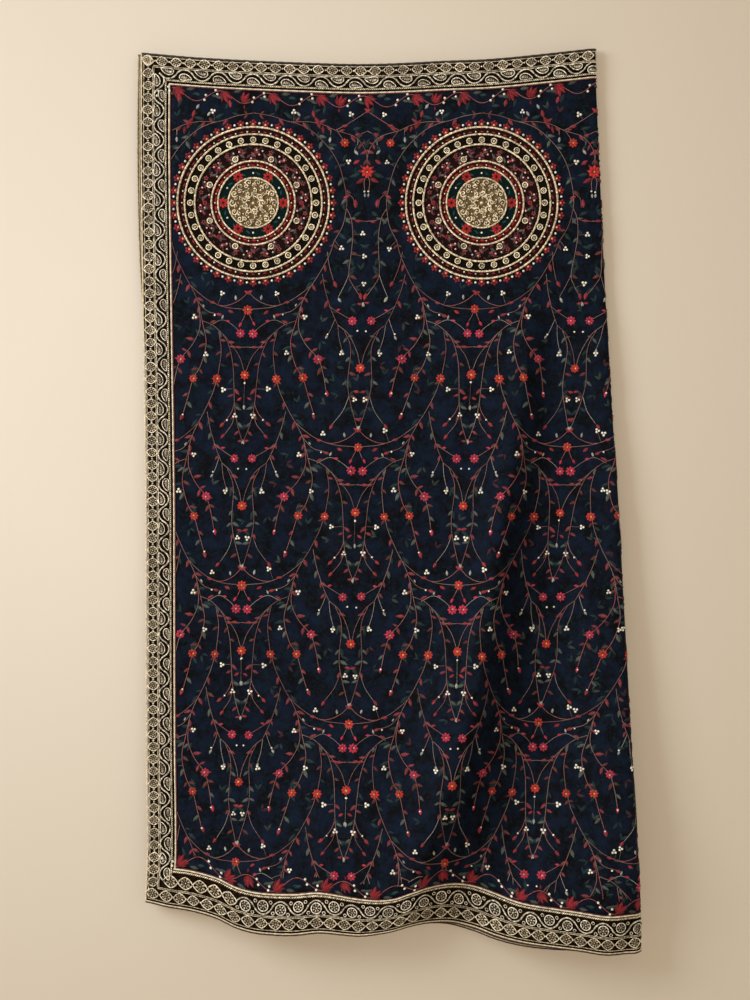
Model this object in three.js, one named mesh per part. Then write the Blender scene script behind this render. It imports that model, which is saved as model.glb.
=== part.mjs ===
// Embroidered dupatta, folded twice into four leaves and hung by its two top corners, in millimetres with
// +Z up. The cloth is 2290 x 1100 flat. Its front leaf faces -Y and turns back at the right; behind it lie
// the two hidden leaves and the back leaf, which rolls forward again at the left. The origin is on the wall
// that it hangs against (the plane y = 0), midway between the two points that hold it.
import * as THREE from "three";

// --- thicknesses, measured inwards from the outermost face of the folded stack ---
const WALL_GAP = 4; // between the wall and the back leaf, where the stack hangs straight
const STACK_HALF = 3.8; // half of the four leaves together
const SEAM = 0.3; // between neighbouring pieces
const BORDER_FACE = 0;
const FIELD_FACE = 0.3; // the field is a little thinner than its borders
const TRIM_FACE = -0.7; // piping and edge cord stand proud
const LEAF_INSIDE = 1.7; // back of every leaf
const CORE_FACE = 2.4; // hidden leaves
const MEDALLION_GAP = 0.4;
const MEDALLION_THICK = 1.2;

// --- widths across the borders ---
const EDGE_CORD = 2.6;
const SIDE_BORDER = 34.6; // from the cloth's edge to the piping, along the top and the left side
const PIPING = 2.7;
const HEM_BORDER = 46.6; // the same along the hem
const SIDE_TRIM = SIDE_BORDER + SEAM + PIPING + SEAM; // all the trimming of the top and of the left side
const HEM_BAND = HEM_BORDER + SEAM + PIPING + SEAM; // and of the hem

// --- the outline seen from the front ---
const TOP_EDGE = [
  { x: -285, z: 5.5 },
  { x: -210, z: -1 },
  { x: -85, z: -7 },
  { x: 0, z: -9 },
  { x: 100, z: -5 },
  { x: 165, z: -2 },
  { x: 285, z: 10.5 },
];
const SIDES = [
  { z: 11, left: -285, right: 285 },
  { z: -130, left: -285.3, right: 290.8 },
  { z: -305, left: -283, right: 298.8 },
  { z: -455, left: -280.8, right: 306.8 },
  { z: -555, left: -279.4, right: 313.5 },
  { z: -680, left: -279, right: 319.5 },
  { z: -867, left: -278.4, right: 328.8 },
  { z: -992, left: -277, right: 335.5 },
  { z: -1061, left: -279.5, right: 339 },
  { z: -1125, left: -280.5, right: 340 },
];
// The hem from left to right: its height, the depth of the border that shows, and how far the stack
// stands out from where it hangs straight.
const HEM = [
  { x: -280, z: -1058.5, band: 50, out: 5 },
  { x: -250, z: -1065, band: 50.5, out: 8 },
  { x: -222, z: -1069, band: 51, out: 13 },
  { x: -188, z: -1077.5, band: 51, out: 22 },
  { x: -162, z: -1088.5, band: 51, out: 28 },
  { x: -134, z: -1094.5, band: 51.5, out: 33 },
  { x: -94, z: -1095.5, band: 52, out: 38 },
  { x: -60, z: -1092, band: 51, out: 40 },
  { x: -15, z: -1095.5, band: 48, out: 40 },
  { x: 12, z: -1093.5, band: 44, out: 37 },
  { x: 32, z: -1090, band: 42.5, out: 31 },
  { x: 52, z: -1085, band: 44, out: 22 },
  { x: 72, z: -1083.5, band: 48, out: 13 },
  { x: 102, z: -1085, band: 51, out: 8 },
  { x: 134, z: -1091, band: 53, out: 14 },
  { x: 159, z: -1098.5, band: 53, out: 26 },
  { x: 187, z: -1104.5, band: 50.5, out: 36 },
  { x: 228, z: -1110, band: 50, out: 42 },
  { x: 262, z: -1114, band: 49.5, out: 43 },
  { x: 297, z: -1119.5, band: 50, out: 37 },
  { x: 328, z: -1119, band: 50, out: 22 },
];
// How the hem's folds run up the cloth: they lean to the right and flatten out, and the right-hand turn,
// tight at the top, opens towards the hem.
const RISE = [
  { z: -1125, lean: -10, fade: 1, turn: 12.5 },
  { z: -1085, lean: 0, fade: 1, turn: 12 },
  { z: -980, lean: 62, fade: 0.84, turn: 10.5 },
  { z: -855, lean: 100, fade: 0.62, turn: 9 },
  { z: -605, lean: 122, fade: 0.36, turn: 7 },
  { z: -430, lean: 132, fade: 0.2, turn: 5.5 },
  { z: -350, lean: 136, fade: 0.1, turn: 4.6 },
  { z: -300, lean: 140, fade: 0, turn: STACK_HALF },
  { z: -280, lean: 140, fade: 0, turn: STACK_HALF },
  { z: 11, lean: 140, fade: 0, turn: STACK_HALF },
];
const TURN_SWELLS_OVER = 90; // width beside the right-hand turn over which the stack thickens
// The back leaf's hem against the front's: higher beside the turn, lower where it peeks out.
const BACK_HEM = [
  { x: -280, lower: 1 },
  { x: -60, lower: -1 },
  { x: 70, lower: 1 },
  { x: 130, lower: 4.5 },
  { x: 210, lower: 4 },
  { x: 270, lower: 0 },
  { x: 328, lower: -6 },
];
// The free end of the hidden leaves, past the front leaf's left edge.
const HIDDEN_END = [
  { z: 11, past: 3.5 },
  { z: -120, past: 4.5 },
  { z: -260, past: 3 },
  { z: -380, past: -3 },
  { z: -1125, past: -9 },
];
const HIDDEN_TOP = { front: 2.5, back: 1.2 }; // how far their two edges stay below the top edge
const HIDDEN_HEM = { front: 3.5, back: 1.5 }; // and above the hem

const LEFT_ROLL_IN = 1.2; // the back leaf's left fold lies this far inside the front leaf's edge
const ROLL_ARM = 9; // cloth past that fold, before the hidden leaves take over
const LEAVES_APART = 0.1; // from the middle of the stack to the leaf on either side of it
const COLUMNS_APART = 5; // the least between a piece's first column and the next

const MEDALLION = { radius: 96, z: -183.3, centres: [-143.8, 142.5], rings: 2, sides: 30 };

const FIELD_ROWS = 18;
const ROWS_CROWD = 1.45; // they crowd towards the hem, where the folds are deepest
const TURN_STEPS = 5;
const ROLL_STEPS = 4;

// --- interpolation ---
const mix = (a, b, t) => a + (b - a) * t;
const clamp = (t) => Math.min(1, Math.max(0, t));
const smooth = (t) => clamp(t) ** 2 * (3 - 2 * clamp(t));

// A smooth curve through one column of a table, whose rows are sorted by another.
function curve(table, by, column) {
  const rows = [...table].sort((a, b) => a[by] - b[by]);
  const slope = rows.map((row, i) => {
    const before = rows[Math.max(0, i - 1)];
    const after = rows[Math.min(rows.length - 1, i + 1)];
    return (after[column] - before[column]) / (after[by] - before[by]);
  });
  return (at) => {
    const last = rows.length - 1;
    if (at <= rows[0][by]) return rows[0][column];
    if (at >= rows[last][by]) return rows[last][column];
    const i = rows.findIndex((row) => row[by] > at) - 1;
    const span = rows[i + 1][by] - rows[i][by];
    const t = (at - rows[i][by]) / span;
    const ends = mix(rows[i][column], rows[i + 1][column], smooth(t));
    return ends + span * (slope[i] * (t ** 3 - 2 * t ** 2 + t) + slope[i + 1] * (t ** 3 - t ** 2));
  };
}

const topAt = curve(TOP_EDGE, "x", "z");
const leftAt = curve(SIDES, "z", "left");
const rightAt = curve(SIDES, "z", "right");
const hemAt = curve(HEM, "x", "z");
const bandAt = curve(HEM, "x", "band");
const hemOutAt = curve(HEM, "x", "out");
const leanAt = curve(RISE, "z", "lean");
const fadeAt = curve(RISE, "z", "fade");
const turnAt = curve(RISE, "z", "turn");
const backLowerAt = curve(BACK_HEM, "x", "lower");
const hiddenPastAt = curve(HIDDEN_END, "z", "past");

// --- the folded stack's own form ---
// `across` runs from 0 at the left edge to 1 where the right-hand turn starts.
const hemX = (across) => mix(HEM[0].x, HEM[HEM.length - 1].x, across);
const topX = (across) => mix(TOP_EDGE[0].x, TOP_EDGE[TOP_EDGE.length - 1].x, across);
const HEM_WIDE = HEM[HEM.length - 1].x - HEM[0].x;
const acrossOfHem = (x) => (x - HEM[0].x) / HEM_WIDE;
const turnStartAt = (z) => rightAt(z) - turnAt(z);
const outAt = (x, z) => fadeAt(z) * hemOutAt(x - leanAt(z));
const middleAt = (x, z) => WALL_GAP + STACK_HALF + outAt(x, z);
function halfAt(x, z) {
  const swell = turnAt(z) - STACK_HALF;
  return STACK_HALF + swell * smooth(1 - (turnStartAt(z) - x) / TURN_SWELLS_OVER);
}

function depthAt(x, z, inwards, behind) {
  const reach = halfAt(x, z) - inwards;
  return middleAt(x, z) + (behind ? -reach : reach);
}

// The height of a row at a place across the cloth. A row is measured down from the top edge, up from the hem
// in the border's own proportions, or as a share of the field between the two trimmings.
function rowHeight(row, across, behind) {
  const top = topAt(topX(across));
  const x = hemX(across);
  const share = bandAt(x) / HEM_BAND;
  const hem = hemAt(x) - (behind ? backLowerAt(x) : 0);
  if (row.top !== undefined) return top - row.top;
  if (row.hem !== undefined) return hem + row.hem * share;
  return mix(top - SIDE_TRIM, hem + HEM_BAND * share, row.share);
}

// A point of the stack, `inwards` from its outer face. A column is a distance from the left edge, a share of
// the width, a share of the right-hand turn, or a place on the back leaf's roll at the left.
function point(column, row, inwards, behind) {
  if (column.turn !== undefined) return turnPoint(column.turn, row, inwards);
  if (column.roll !== undefined) return rollPoint(column.roll, row, inwards);
  const guess = column.across ?? acrossOfHem(HEM[0].x + column.left);
  const z = rowHeight(row, guess, behind);
  const fromEdge = column.across === undefined;
  const x = fromEdge ? leftAt(z) + column.left : mix(leftAt(z), turnStartAt(z), column.across);
  return new THREE.Vector3(x, -depthAt(x, z, inwards, behind), z);
}

// From 0 on the front leaf to 1 on the back leaf.
function turnPoint(turn, row, inwards) {
  const z = mix(rowHeight(row, 1, false), rowHeight(row, 1, true), smooth(turn));
  const angle = Math.PI * (0.5 - turn);
  const x = turnStartAt(z);
  const reach = turnAt(z) - inwards;
  return new THREE.Vector3(x + reach * Math.cos(angle), -(middleAt(x, z) + reach * Math.sin(angle)), z);
}

// From 0 on the back leaf, round the left fold to 1, and on to 2 along the arm inside the stack.
function rollPoint(roll, row, inwards) {
  const radius = (STACK_HALF - LEAVES_APART) / 2;
  const left = LEFT_ROLL_IN + radius + ROLL_ARM * Math.max(0, roll - 1);
  const z = rowHeight(row, acrossOfHem(HEM[0].x + left), true);
  const x = leftAt(z) + left;
  const centre = middleAt(x, z) - STACK_HALF + radius;
  const angle = Math.PI * (Math.min(roll, 1) - 0.5);
  const reach = radius - Math.max(inwards, BORDER_FACE); // trimming lies flush inside the stack
  return new THREE.Vector3(x - reach * Math.cos(angle), -(centre + reach * Math.sin(angle)), z);
}

// --- solids ---
// A closed solid through sections. Each has an outer and an inner line with as many points, and may have
// steps between their last points (the hem's side) and between their first (the top's side).
function solid(sections) {
  const loops = sections.map(({ outer, inner, hem = [], top = [] }) => [
    ...outer,
    ...hem,
    ...[...inner].reverse(),
    ...top,
  ]);
  const size = loops[0].length;
  const count = sections[0].outer.length;
  const hemSteps = sections[0].hem?.length ?? 0;
  const corners = loops.flat();
  const faces = [];
  // Every four-sided facet is split along the same slope, so that neighbouring layers run parallel.
  function quad(a, b, c, d) {
    const slope = (corners[c].x - corners[a].x) * (corners[c].z - corners[a].z);
    if (slope < 0) faces.push([a, b, c], [a, c, d]);
    else faces.push([a, b, d], [b, c, d]);
  }
  for (let i = 0; i + 1 < loops.length; i++) {
    for (let j = 0; j < size; j++) {
      const next = (j + 1) % size;
      quad(i * size + j, i * size + next, (i + 1) * size + next, (i + 1) * size + j);
    }
  }
  const innerAt = (j) => 2 * count + hemSteps - 1 - j;
  for (const [start, flip] of [[0, true], [(loops.length - 1) * size, false]]) {
    const cap = [];
    for (let j = 0; j + 1 < count; j++) cap.push([j, j + 1, innerAt(j + 1)], [j, innerAt(j + 1), innerAt(j)]);
    for (let j = 0; j < hemSteps; j++) cap.push([count - 1 + j, count + j, innerAt(count - 1)]);
    for (let j = innerAt(0); j + 1 < size; j++) cap.push([j, j + 1, 0]);
    for (const [a, b, c] of cap) {
      const turned = flip ? [a, c, b] : [a, b, c];
      faces.push(turned.map((corner) => start + corner));
    }
  }
  const volume = faces.reduce((sum, [a, b, c]) => {
    const cross = new THREE.Vector3().crossVectors(corners[b], corners[c]);
    return sum + corners[a].dot(cross);
  }, 0);
  const geometry = new THREE.BufferGeometry().setFromPoints(corners);
  geometry.setIndex(faces.flatMap(([a, b, c]) => (volume > 0 ? [a, b, c] : [a, c, b])));
  geometry.computeVertexNormals();
  return geometry;
}

// A piece of a leaf: each section is a list of [column, row] places, given its two faces.
function panel(places, face, behind = false) {
  return solid(
    places.map((line) => ({
      outer: line.map(([column, row]) => point(column, row, face, behind)),
      inner: line.map(([column, row]) => point(column, row, LEAF_INSIDE, behind)),
    })),
  );
}

// --- columns and rows ---
const hemColumns = HEM.slice(1).map(({ x }) => ({ across: acrossOfHem(x) }));
const columnsPast = (left) => hemColumns.filter(({ across }) => across * HEM_WIDE > left + COLUMNS_APART);
const frontColumns = columnsPast(SIDE_TRIM);
const turnColumns = Array.from({ length: TURN_STEPS }, (_, i) => ({ turn: (i + 1) / TURN_STEPS }));
const rollColumns = Array.from({ length: ROLL_STEPS + 1 }, (_, i) => ({ roll: i / ROLL_STEPS }));
const backColumns = [
  { across: 1 - SEAM / HEM_WIDE },
  ...hemColumns.slice(0, -1).reverse(),
  ...rollColumns,
  { roll: 2 },
];
const fieldRows = Array.from({ length: FIELD_ROWS + 1 }, (_, i) => ({
  share: 1 - (1 - i / FIELD_ROWS) ** ROWS_CROWD,
}));

// The hem's border is deeper than the side's, so their mitre runs through places in proportion.
function sideAtMitre(edge, d) {
  if (edge === "top" || d <= EDGE_CORD + SEAM) return d;
  if (d > HEM_BORDER) return d - HEM_BORDER + SIDE_BORDER;
  return mix(EDGE_CORD + SEAM, SIDE_BORDER, (d - EDGE_CORD - SEAM) / (HEM_BORDER - EDGE_CORD - SEAM));
}
function edgeAtMitre(edge, d) {
  if (edge === "top" || d <= EDGE_CORD + SEAM) return d;
  if (d > SIDE_BORDER) return d - SIDE_BORDER + HEM_BORDER;
  return mix(EDGE_CORD + SEAM, HEM_BORDER, (d - EDGE_CORD - SEAM) / (SIDE_BORDER - EDGE_CORD - SEAM));
}

// A strip along the top or the hem of the front leaf, mitred at its left end and carried round the turn.
function frontStrip(edge, from, to, face) {
  const places = [[from, to].map((d) => [{ left: sideAtMitre(edge, d) + SEAM }, { [edge]: d }])];
  for (const column of [...frontColumns, ...turnColumns]) {
    places.push([from, to].map((d) => [column, { [edge]: d }]));
  }
  return panel(places, face);
}

// The same along the back leaf, round its roll at the left.
function backStrip(edge, from, to, face) {
  return panel(backColumns.map((column) => [from, to].map((d) => [column, { [edge]: d }])), face, true);
}

// A strip down the left edge, between the two mitres.
function leftStrip(from, to, face) {
  const ends = (edge) => [from, to].map((d) => [{ left: d }, { [edge]: edgeAtMitre(edge, d) + SEAM }]);
  const between = fieldRows.slice(1, -1).map((row) => [from, to].map((d) => [{ left: d }, row]));
  return panel([ends("top"), ...between, ends("hem")], face);
}

function fieldFront() {
  const columns = [{ left: SIDE_TRIM }, ...frontColumns, ...turnColumns];
  return panel(columns.map((column) => fieldRows.map((row) => [column, row])), FIELD_FACE);
}

function fieldBack() {
  return panel(backColumns.map((column) => fieldRows.map((row) => [column, row])), FIELD_FACE, true);
}

// The two hidden leaves as one solid with a rounded right end, a free end at the left and stepped edges.
function hiddenLeaves() {
  const rows = [
    { top: SIDE_BORDER },
    { top: SIDE_TRIM },
    ...fieldRows.slice(1, -1),
    { hem: HEM_BAND },
    { hem: HEM_BORDER },
  ];
  const frontRows = [{ top: HIDDEN_TOP.front }, ...rows, { hem: HIDDEN_HEM.front }];
  const backRows = [{ top: HIDDEN_TOP.back }, ...rows, { hem: HIDDEN_HEM.back }];
  const full = (column) => {
    const line = (list, side) => list.map((row) => point(column, row, CORE_FACE, side < 0));
    return stepped(line(frontRows, 1), line(backRows, -1));
  };
  // Left of the back leaf's arm only the nearer hidden leaf is there, from its free end to a place at `left`.
  const single = (left) => {
    const line = (list, depth) =>
      list.map((row) => {
        const z = rowHeight(row, left ? acrossOfHem(HEM[0].x + left) : 0, false);
        const x = leftAt(z) + (left ?? -hiddenPastAt(z));
        return new THREE.Vector3(x, depth(x, z), z);
      });
    const nearer = (x, z) => -depthAt(x, z, CORE_FACE, false);
    const middle = (x, z) => -(middleAt(x, z) + LEAVES_APART + SEAM / 2);
    return stepped(line(frontRows, nearer), line(backRows, middle));
  };
  const nose = (turn) => {
    const line = (list, side) =>
      list.map((row) => {
        const z = rowHeight(row, 1, side < 0);
        const x = turnStartAt(z);
        const reach = turnAt(z) - CORE_FACE;
        const angle = Math.PI * (0.5 - turn);
        const depth = middleAt(x, z) + side * reach * Math.sin(angle);
        return new THREE.Vector3(x + reach * Math.cos(angle), -depth, z);
      });
    return stepped(line(frontRows, 1), line(backRows, -1));
  };
  const noseTurns = turnColumns.map(({ turn }) => turn).filter((turn) => turn < 0.5);
  const armEnd = LEFT_ROLL_IN + (STACK_HALF - LEAVES_APART) / 2 + ROLL_ARM + SEAM;
  return solid([
    single(undefined),
    single(armEnd),
    full({ left: armEnd + SEAM }),
    ...columnsPast(armEnd).map(full),
    ...noseTurns.map(nose),
  ]);
}

// A section with the step between the two hidden leaves' edges, half way through, at the hem and at the top.
function stepped(outer, inner) {
  const step = (a, b) => {
    const y = mix(a.y, b.y, 0.5);
    return [new THREE.Vector3(a.x, y, a.z), new THREE.Vector3(b.x, y, b.z)];
  };
  return {
    outer,
    inner,
    hem: step(outer[outer.length - 1], inner[inner.length - 1]),
    top: step(inner[0], outer[0]),
  };
}

// A round worked medallion lying on the field.
function medallion(centre, behind) {
  const { radius, z: height, rings, sides } = MEDALLION;
  const lift = (x, z, inwards) => new THREE.Vector3(x, -depthAt(x, z, inwards, behind), z);
  const corners = [];
  const faces = [];
  const near = FIELD_FACE - MEDALLION_GAP;
  for (const inwards of [near - MEDALLION_THICK, near]) {
    corners.push(lift(centre, height, inwards));
    for (let ring = 1; ring <= rings; ring++) {
      for (let i = 0; i < sides; i++) {
        const angle = (2 * Math.PI * i) / sides;
        const r = (radius * ring) / rings;
        corners.push(lift(centre + r * Math.cos(angle), height + r * Math.sin(angle), inwards));
      }
    }
  }
  const layer = 1 + rings * sides;
  const at = (level, ring, i) => level * layer + (ring === 0 ? 0 : 1 + (ring - 1) * sides + (i % sides));
  const face = (a, b, c, flip) => faces.push(flip ? [a, c, b] : [a, b, c]);
  for (const level of [0, 1]) {
    for (let i = 0; i < sides; i++) {
      face(at(level, 0, 0), at(level, 1, i), at(level, 1, i + 1), level === 1);
      for (let ring = 1; ring < rings; ring++) {
        face(at(level, ring, i), at(level, ring + 1, i), at(level, ring + 1, i + 1), level === 1);
        face(at(level, ring, i), at(level, ring + 1, i + 1), at(level, ring, i + 1), level === 1);
      }
    }
  }
  for (let i = 0; i < sides; i++) {
    face(at(0, rings, i), at(1, rings, i), at(1, rings, i + 1), false);
    face(at(0, rings, i), at(1, rings, i + 1), at(0, rings, i + 1), false);
  }
  const geometry = new THREE.BufferGeometry().setFromPoints(corners);
  geometry.setIndex(faces.flatMap(([a, b, c]) => (behind ? [a, c, b] : [a, b, c])));
  geometry.computeVertexNormals();
  return geometry;
}

// --- materials ---
const navy = new THREE.MeshStandardMaterial({ color: 0x0e1830, roughness: 0.8, metalness: 0 });
const brocade = new THREE.MeshStandardMaterial({ color: 0x8a7a58, roughness: 0.55, metalness: 0.3 });
const goldCord = new THREE.MeshStandardMaterial({ color: 0xd8b27c, roughness: 0.5, metalness: 0.35 });
const darkCord = new THREE.MeshStandardMaterial({ color: 0x2c2018, roughness: 0.8, metalness: 0 });
const zari = new THREE.MeshStandardMaterial({ color: 0xbfa77a, roughness: 0.45, metalness: 0.5 });

// --- assembly ---
const dupatta = new THREE.Group();
function add(name, geometry, material) {
  const mesh = new THREE.Mesh(geometry, material);
  mesh.name = name;
  dupatta.add(mesh);
}

add("field_front", fieldFront(), navy);
add("field_back", fieldBack(), navy);
add("hidden_leaves", hiddenLeaves(), navy);

const sideRuns = { cord: [0, EDGE_CORD], border: [EDGE_CORD + SEAM, SIDE_BORDER] };
const hemRuns = { cord: [0, EDGE_CORD], border: [EDGE_CORD + SEAM, HEM_BORDER] };
const sidePiping = [SIDE_BORDER + SEAM, SIDE_TRIM - SEAM];
const hemPiping = [HEM_BORDER + SEAM, HEM_BAND - SEAM];

add("border_left", leftStrip(...sideRuns.border, BORDER_FACE), brocade);
add("piping_left", leftStrip(...sidePiping, TRIM_FACE), goldCord);
add("edge_cord_left", leftStrip(...sideRuns.cord, TRIM_FACE), goldCord);
for (const [side, strip] of [["front", frontStrip], ["back", backStrip]]) {
  add("border_top_" + side, strip("top", ...sideRuns.border, BORDER_FACE), brocade);
  add("piping_top_" + side, strip("top", ...sidePiping, TRIM_FACE), goldCord);
  add("edge_cord_top_" + side, strip("top", ...sideRuns.cord, TRIM_FACE), darkCord);
  add("border_hem_" + side, strip("hem", ...hemRuns.border, BORDER_FACE), brocade);
  add("piping_hem_" + side, strip("hem", ...hemPiping, TRIM_FACE), goldCord);
  add("edge_cord_hem_" + side, strip("hem", ...hemRuns.cord, TRIM_FACE), goldCord);
}
for (const [side, behind] of [["front", false], ["back", true]]) {
  MEDALLION.centres.forEach((centre, i) => {
    add("medallion_" + side + "_" + ["left", "right"][i], medallion(centre, behind), zari);
  });
}

export default dupatta;
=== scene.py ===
"""Looks of the embroidered dupatta: four leaves of navy silk hung by their top corners, worked all over.

Sizes are in millimetres and turned to metres where a mesh is made. A place on the cloth is (run, height,
lift): `run` is x on the front leaf and goes on round the turn at the right and back along the rear leaf,
`height` is its z, and `lift` is how far it stands out of the field's face.
"""
import math

import bpy
import numpy as np
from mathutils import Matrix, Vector


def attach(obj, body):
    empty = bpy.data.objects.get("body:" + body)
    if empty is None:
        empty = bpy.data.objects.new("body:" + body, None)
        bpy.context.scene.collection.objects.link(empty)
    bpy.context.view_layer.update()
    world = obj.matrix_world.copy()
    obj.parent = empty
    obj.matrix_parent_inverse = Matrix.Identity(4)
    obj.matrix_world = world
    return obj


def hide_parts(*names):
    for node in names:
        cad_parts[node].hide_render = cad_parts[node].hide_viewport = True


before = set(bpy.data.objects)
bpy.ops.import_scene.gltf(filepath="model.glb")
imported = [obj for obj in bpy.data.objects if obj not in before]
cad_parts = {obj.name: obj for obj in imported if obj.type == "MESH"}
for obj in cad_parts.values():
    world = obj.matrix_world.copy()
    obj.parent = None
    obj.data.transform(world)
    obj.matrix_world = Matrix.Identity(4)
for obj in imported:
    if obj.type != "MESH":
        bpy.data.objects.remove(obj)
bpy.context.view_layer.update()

MM = 0.001
TAU = 2 * math.pi
BODY = "root"

# ---------------------------------------------------------------- the folded stack, as the CAD model has it
WALL_GAP = 4.0
STACK_HALF = 3.8  # half the thickness of the leaves together
SEAM = 0.3  # left between pieces side by side
# depths under the borders' face: of the field's face, an outer leaf's inside and the hidden leaves' face
FIELD_FACE = 0.3
LEAF_INSIDE = 1.7
CORE_FACE = 2.4
# how far in from the cloth's edge the edge cord and the borders end; the piping follows
EDGE_CORD = 2.6
SIDE_BORDER = 34.6
HEM_BORDER = 46.6
PIPING = 2.7
SIDE_TRIM = SIDE_BORDER + SEAM + PIPING + SEAM
HEM_BAND = HEM_BORDER + SEAM + PIPING + SEAM
TURN_SWELLS_OVER = 90.0  # the stretch before the turn in which the stack thickens
LEFT_ROLL_IN = 1.2
ROLL_ARM = 9.0
LEAVES_APART = 0.1
ROLL_RADIUS = (STACK_HALF - LEAVES_APART) / 2
MEDALLION_CENTRES = (-143.8, 142.5)
MEDALLION_HEIGHT = -183.3
HEM_LEVEL = -1090.0  # the heights at which places along the hem and in from the left edge are looked up
SIDE_LEVEL = -500.0

TOP_EDGE = dict(
    x=(-285, -210, -85, 0, 100, 165, 285),
    z=(5.5, -1, -7, -9, -5, -2, 10.5),
)
SIDES = dict(
    z=(-1125, -1061, -992, -867, -680, -555, -455, -305, -130, 11),
    left=(-280.5, -279.5, -277, -278.4, -279, -279.4, -280.8, -283, -285.3, -285),
    right=(340, 339, 335.5, 328.8, 319.5, 313.5, 306.8, 298.8, 290.8, 285),
)
HEM = dict(
    x=(-280, -250, -222, -188, -162, -134, -94, -60, -15, 12, 32,
       52, 72, 102, 134, 159, 187, 228, 262, 297, 328),
    z=(-1058.5, -1065, -1069, -1077.5, -1088.5, -1094.5, -1095.5, -1092, -1095.5, -1093.5, -1090, -1085,
       -1083.5, -1085, -1091, -1098.5, -1104.5, -1110, -1114, -1119.5, -1119),
    band=(50, 50.5, 51, 51, 51, 51.5, 52, 51, 48, 44, 42.5, 44, 48, 51, 53, 53, 50.5, 50, 49.5, 50, 50),
    out=(5, 8, 13, 22, 28, 33, 38, 40, 40, 37, 31, 22, 13, 8, 14, 26, 36, 42, 43, 37, 22),
)
RISE = dict(
    z=(-1125, -1085, -980, -855, -605, -430, -350, -300, -280, 11),
    lean=(-10, 0, 62, 100, 122, 132, 136, 140, 140, 140),
    fade=(1, 1, 0.84, 0.62, 0.36, 0.2, 0.1, 0, 0, 0),
    turn=(12.5, 12, 10.5, 9, 7, 5.5, 4.6, STACK_HALF, STACK_HALF, STACK_HALF),
)
BACK_HEM = dict(x=(-280, -60, 70, 130, 210, 270, 328), lower=(1, -1, 1, 4.5, 4, 0, -6))
HIDDEN_END = dict(z=(-1125, -380, -260, -120, 11), past=(-9, -3, 3, 4.5, 3.5))
HIDDEN_TOP = 2.5
HIDDEN_HEM = 3.5

# The main fold: where its flank lies down the front leaf and how strongly it stands there, then its section.
FOLD_LINE = dict(
    z=(-1125, -1060, -979, -942, -880, -804, -717, -617, -530, -380, -290, 11),
    x=(76, 82, 101, 114, 135, 155, 169, 181, 196, 213, 224, 232),
    strength=(7, 18, 24.6, 27.8, 30.2, 32.4, 30, 27, 22, 13, 2.5, 0),
    wide=(1.6, 1.6, 1.5, 1.42, 1.36, 1.3, 1.2, 1.1, 1.0, 1.0, 1.0, 1.0),
)
FOLD_SECTION = dict(
    u=(-130, -78, -42, -17, 0, 17, 36, 85),
    rise=(0, 0.2, 0.55, 0.95, 0.28, -0.40, -0.26, 0),
)
# Smaller creases: a point on each, its lean, how long and wide it is and how far it stands out.
CREASES = (
    dict(x=-205, z=-1000, lean=0.10, long=120, wide=34, out=3.0),
    dict(x=-95, z=-930, lean=0.22, long=150, wide=30, out=-3.2),
    dict(x=40, z=-860, lean=0.30, long=190, wide=32, out=-3.0),
    dict(x=255, z=-820, lean=-0.05, long=220, wide=30, out=-3.0),
    dict(x=-20, z=-420, lean=0.05, long=170, wide=36, out=2.4),
    dict(x=120, z=-560, lean=0.20, long=150, wide=26, out=-2.6),
    dict(x=-160, z=-640, lean=-0.05, long=170, wide=40, out=2.4),
    dict(x=285, z=-520, lean=-0.08, long=150, wide=24, out=-2.2),
)

# The lines that the pattern is mirrored about, a pattern step apart in the cloth: the x of each on the front.
PATTERN_LINES = dict(
    z=(-1120, -1000, -850, -680, -500, -340, -183, 11),
    first=(-167, -164.5, -160, -158, -157, -152, -143.8, -143),
    second=(-33, -30, -24.3, -19.5, -13.3, -7.5, -1.8, 0),
    third=(84, 96, 108, 112.5, 123, 132.5, 142.5, 143.5),
    fourth=(200, 205, 213, 229, 249, 264.5, 282, 287),
)
STEP = 142.5
REPEAT = 345.0
FIRST_GARLAND = -144.5  # the topmost garland's height on even lines; on odd ones it is half a repeat lower


# ---------------------------------------------------------------- curves and noise
def curve(table, by, column):
    """A smooth curve through one column of a table, whose rows are sorted by another."""
    knots = np.asarray(table[by], float)
    values = np.asarray(table[column], float)
    before = np.maximum(np.arange(len(knots)) - 1, 0)
    after = np.minimum(np.arange(len(knots)) + 1, len(knots) - 1)
    slope = (values[after] - values[before]) / (knots[after] - knots[before])

    def at(where):
        where = np.clip(np.asarray(where, float), knots[0], knots[-1])
        i = np.clip(np.searchsorted(knots, where, side="right") - 1, 0, len(knots) - 2)
        span = knots[i + 1] - knots[i]
        t = (where - knots[i]) / span
        ends = values[i] * (2 * t**3 - 3 * t**2 + 1) + values[i + 1] * (3 * t**2 - 2 * t**3)
        return ends + span * (slope[i] * (t**3 - 2 * t**2 + t) + slope[i + 1] * (t**3 - t**2))

    return at


def smooth(t):
    t = np.clip(t, 0, 1)
    return t * t * (3 - 2 * t)


def lattice_noise(x, z, cell, seed, stretch=1.0):
    """Smooth noise from -1 to 1 with cells of the given size, `stretch` times as tall."""
    size = 96
    values = np.random.default_rng(seed).uniform(-1, 1, (size, size))
    a, b = x / cell + 40.0, z / (cell * stretch) + 70.0
    i, j = np.floor(a).astype(int), np.floor(b).astype(int)
    s, t = smooth(a - i), smooth(b - j)
    corner = lambda di, dj: values[(i + di) % size, (j + dj) % size]
    low = corner(0, 0) * (1 - s) + corner(1, 0) * s
    high = corner(0, 1) * (1 - s) + corner(1, 1) * s
    return low * (1 - t) + high * t


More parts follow.
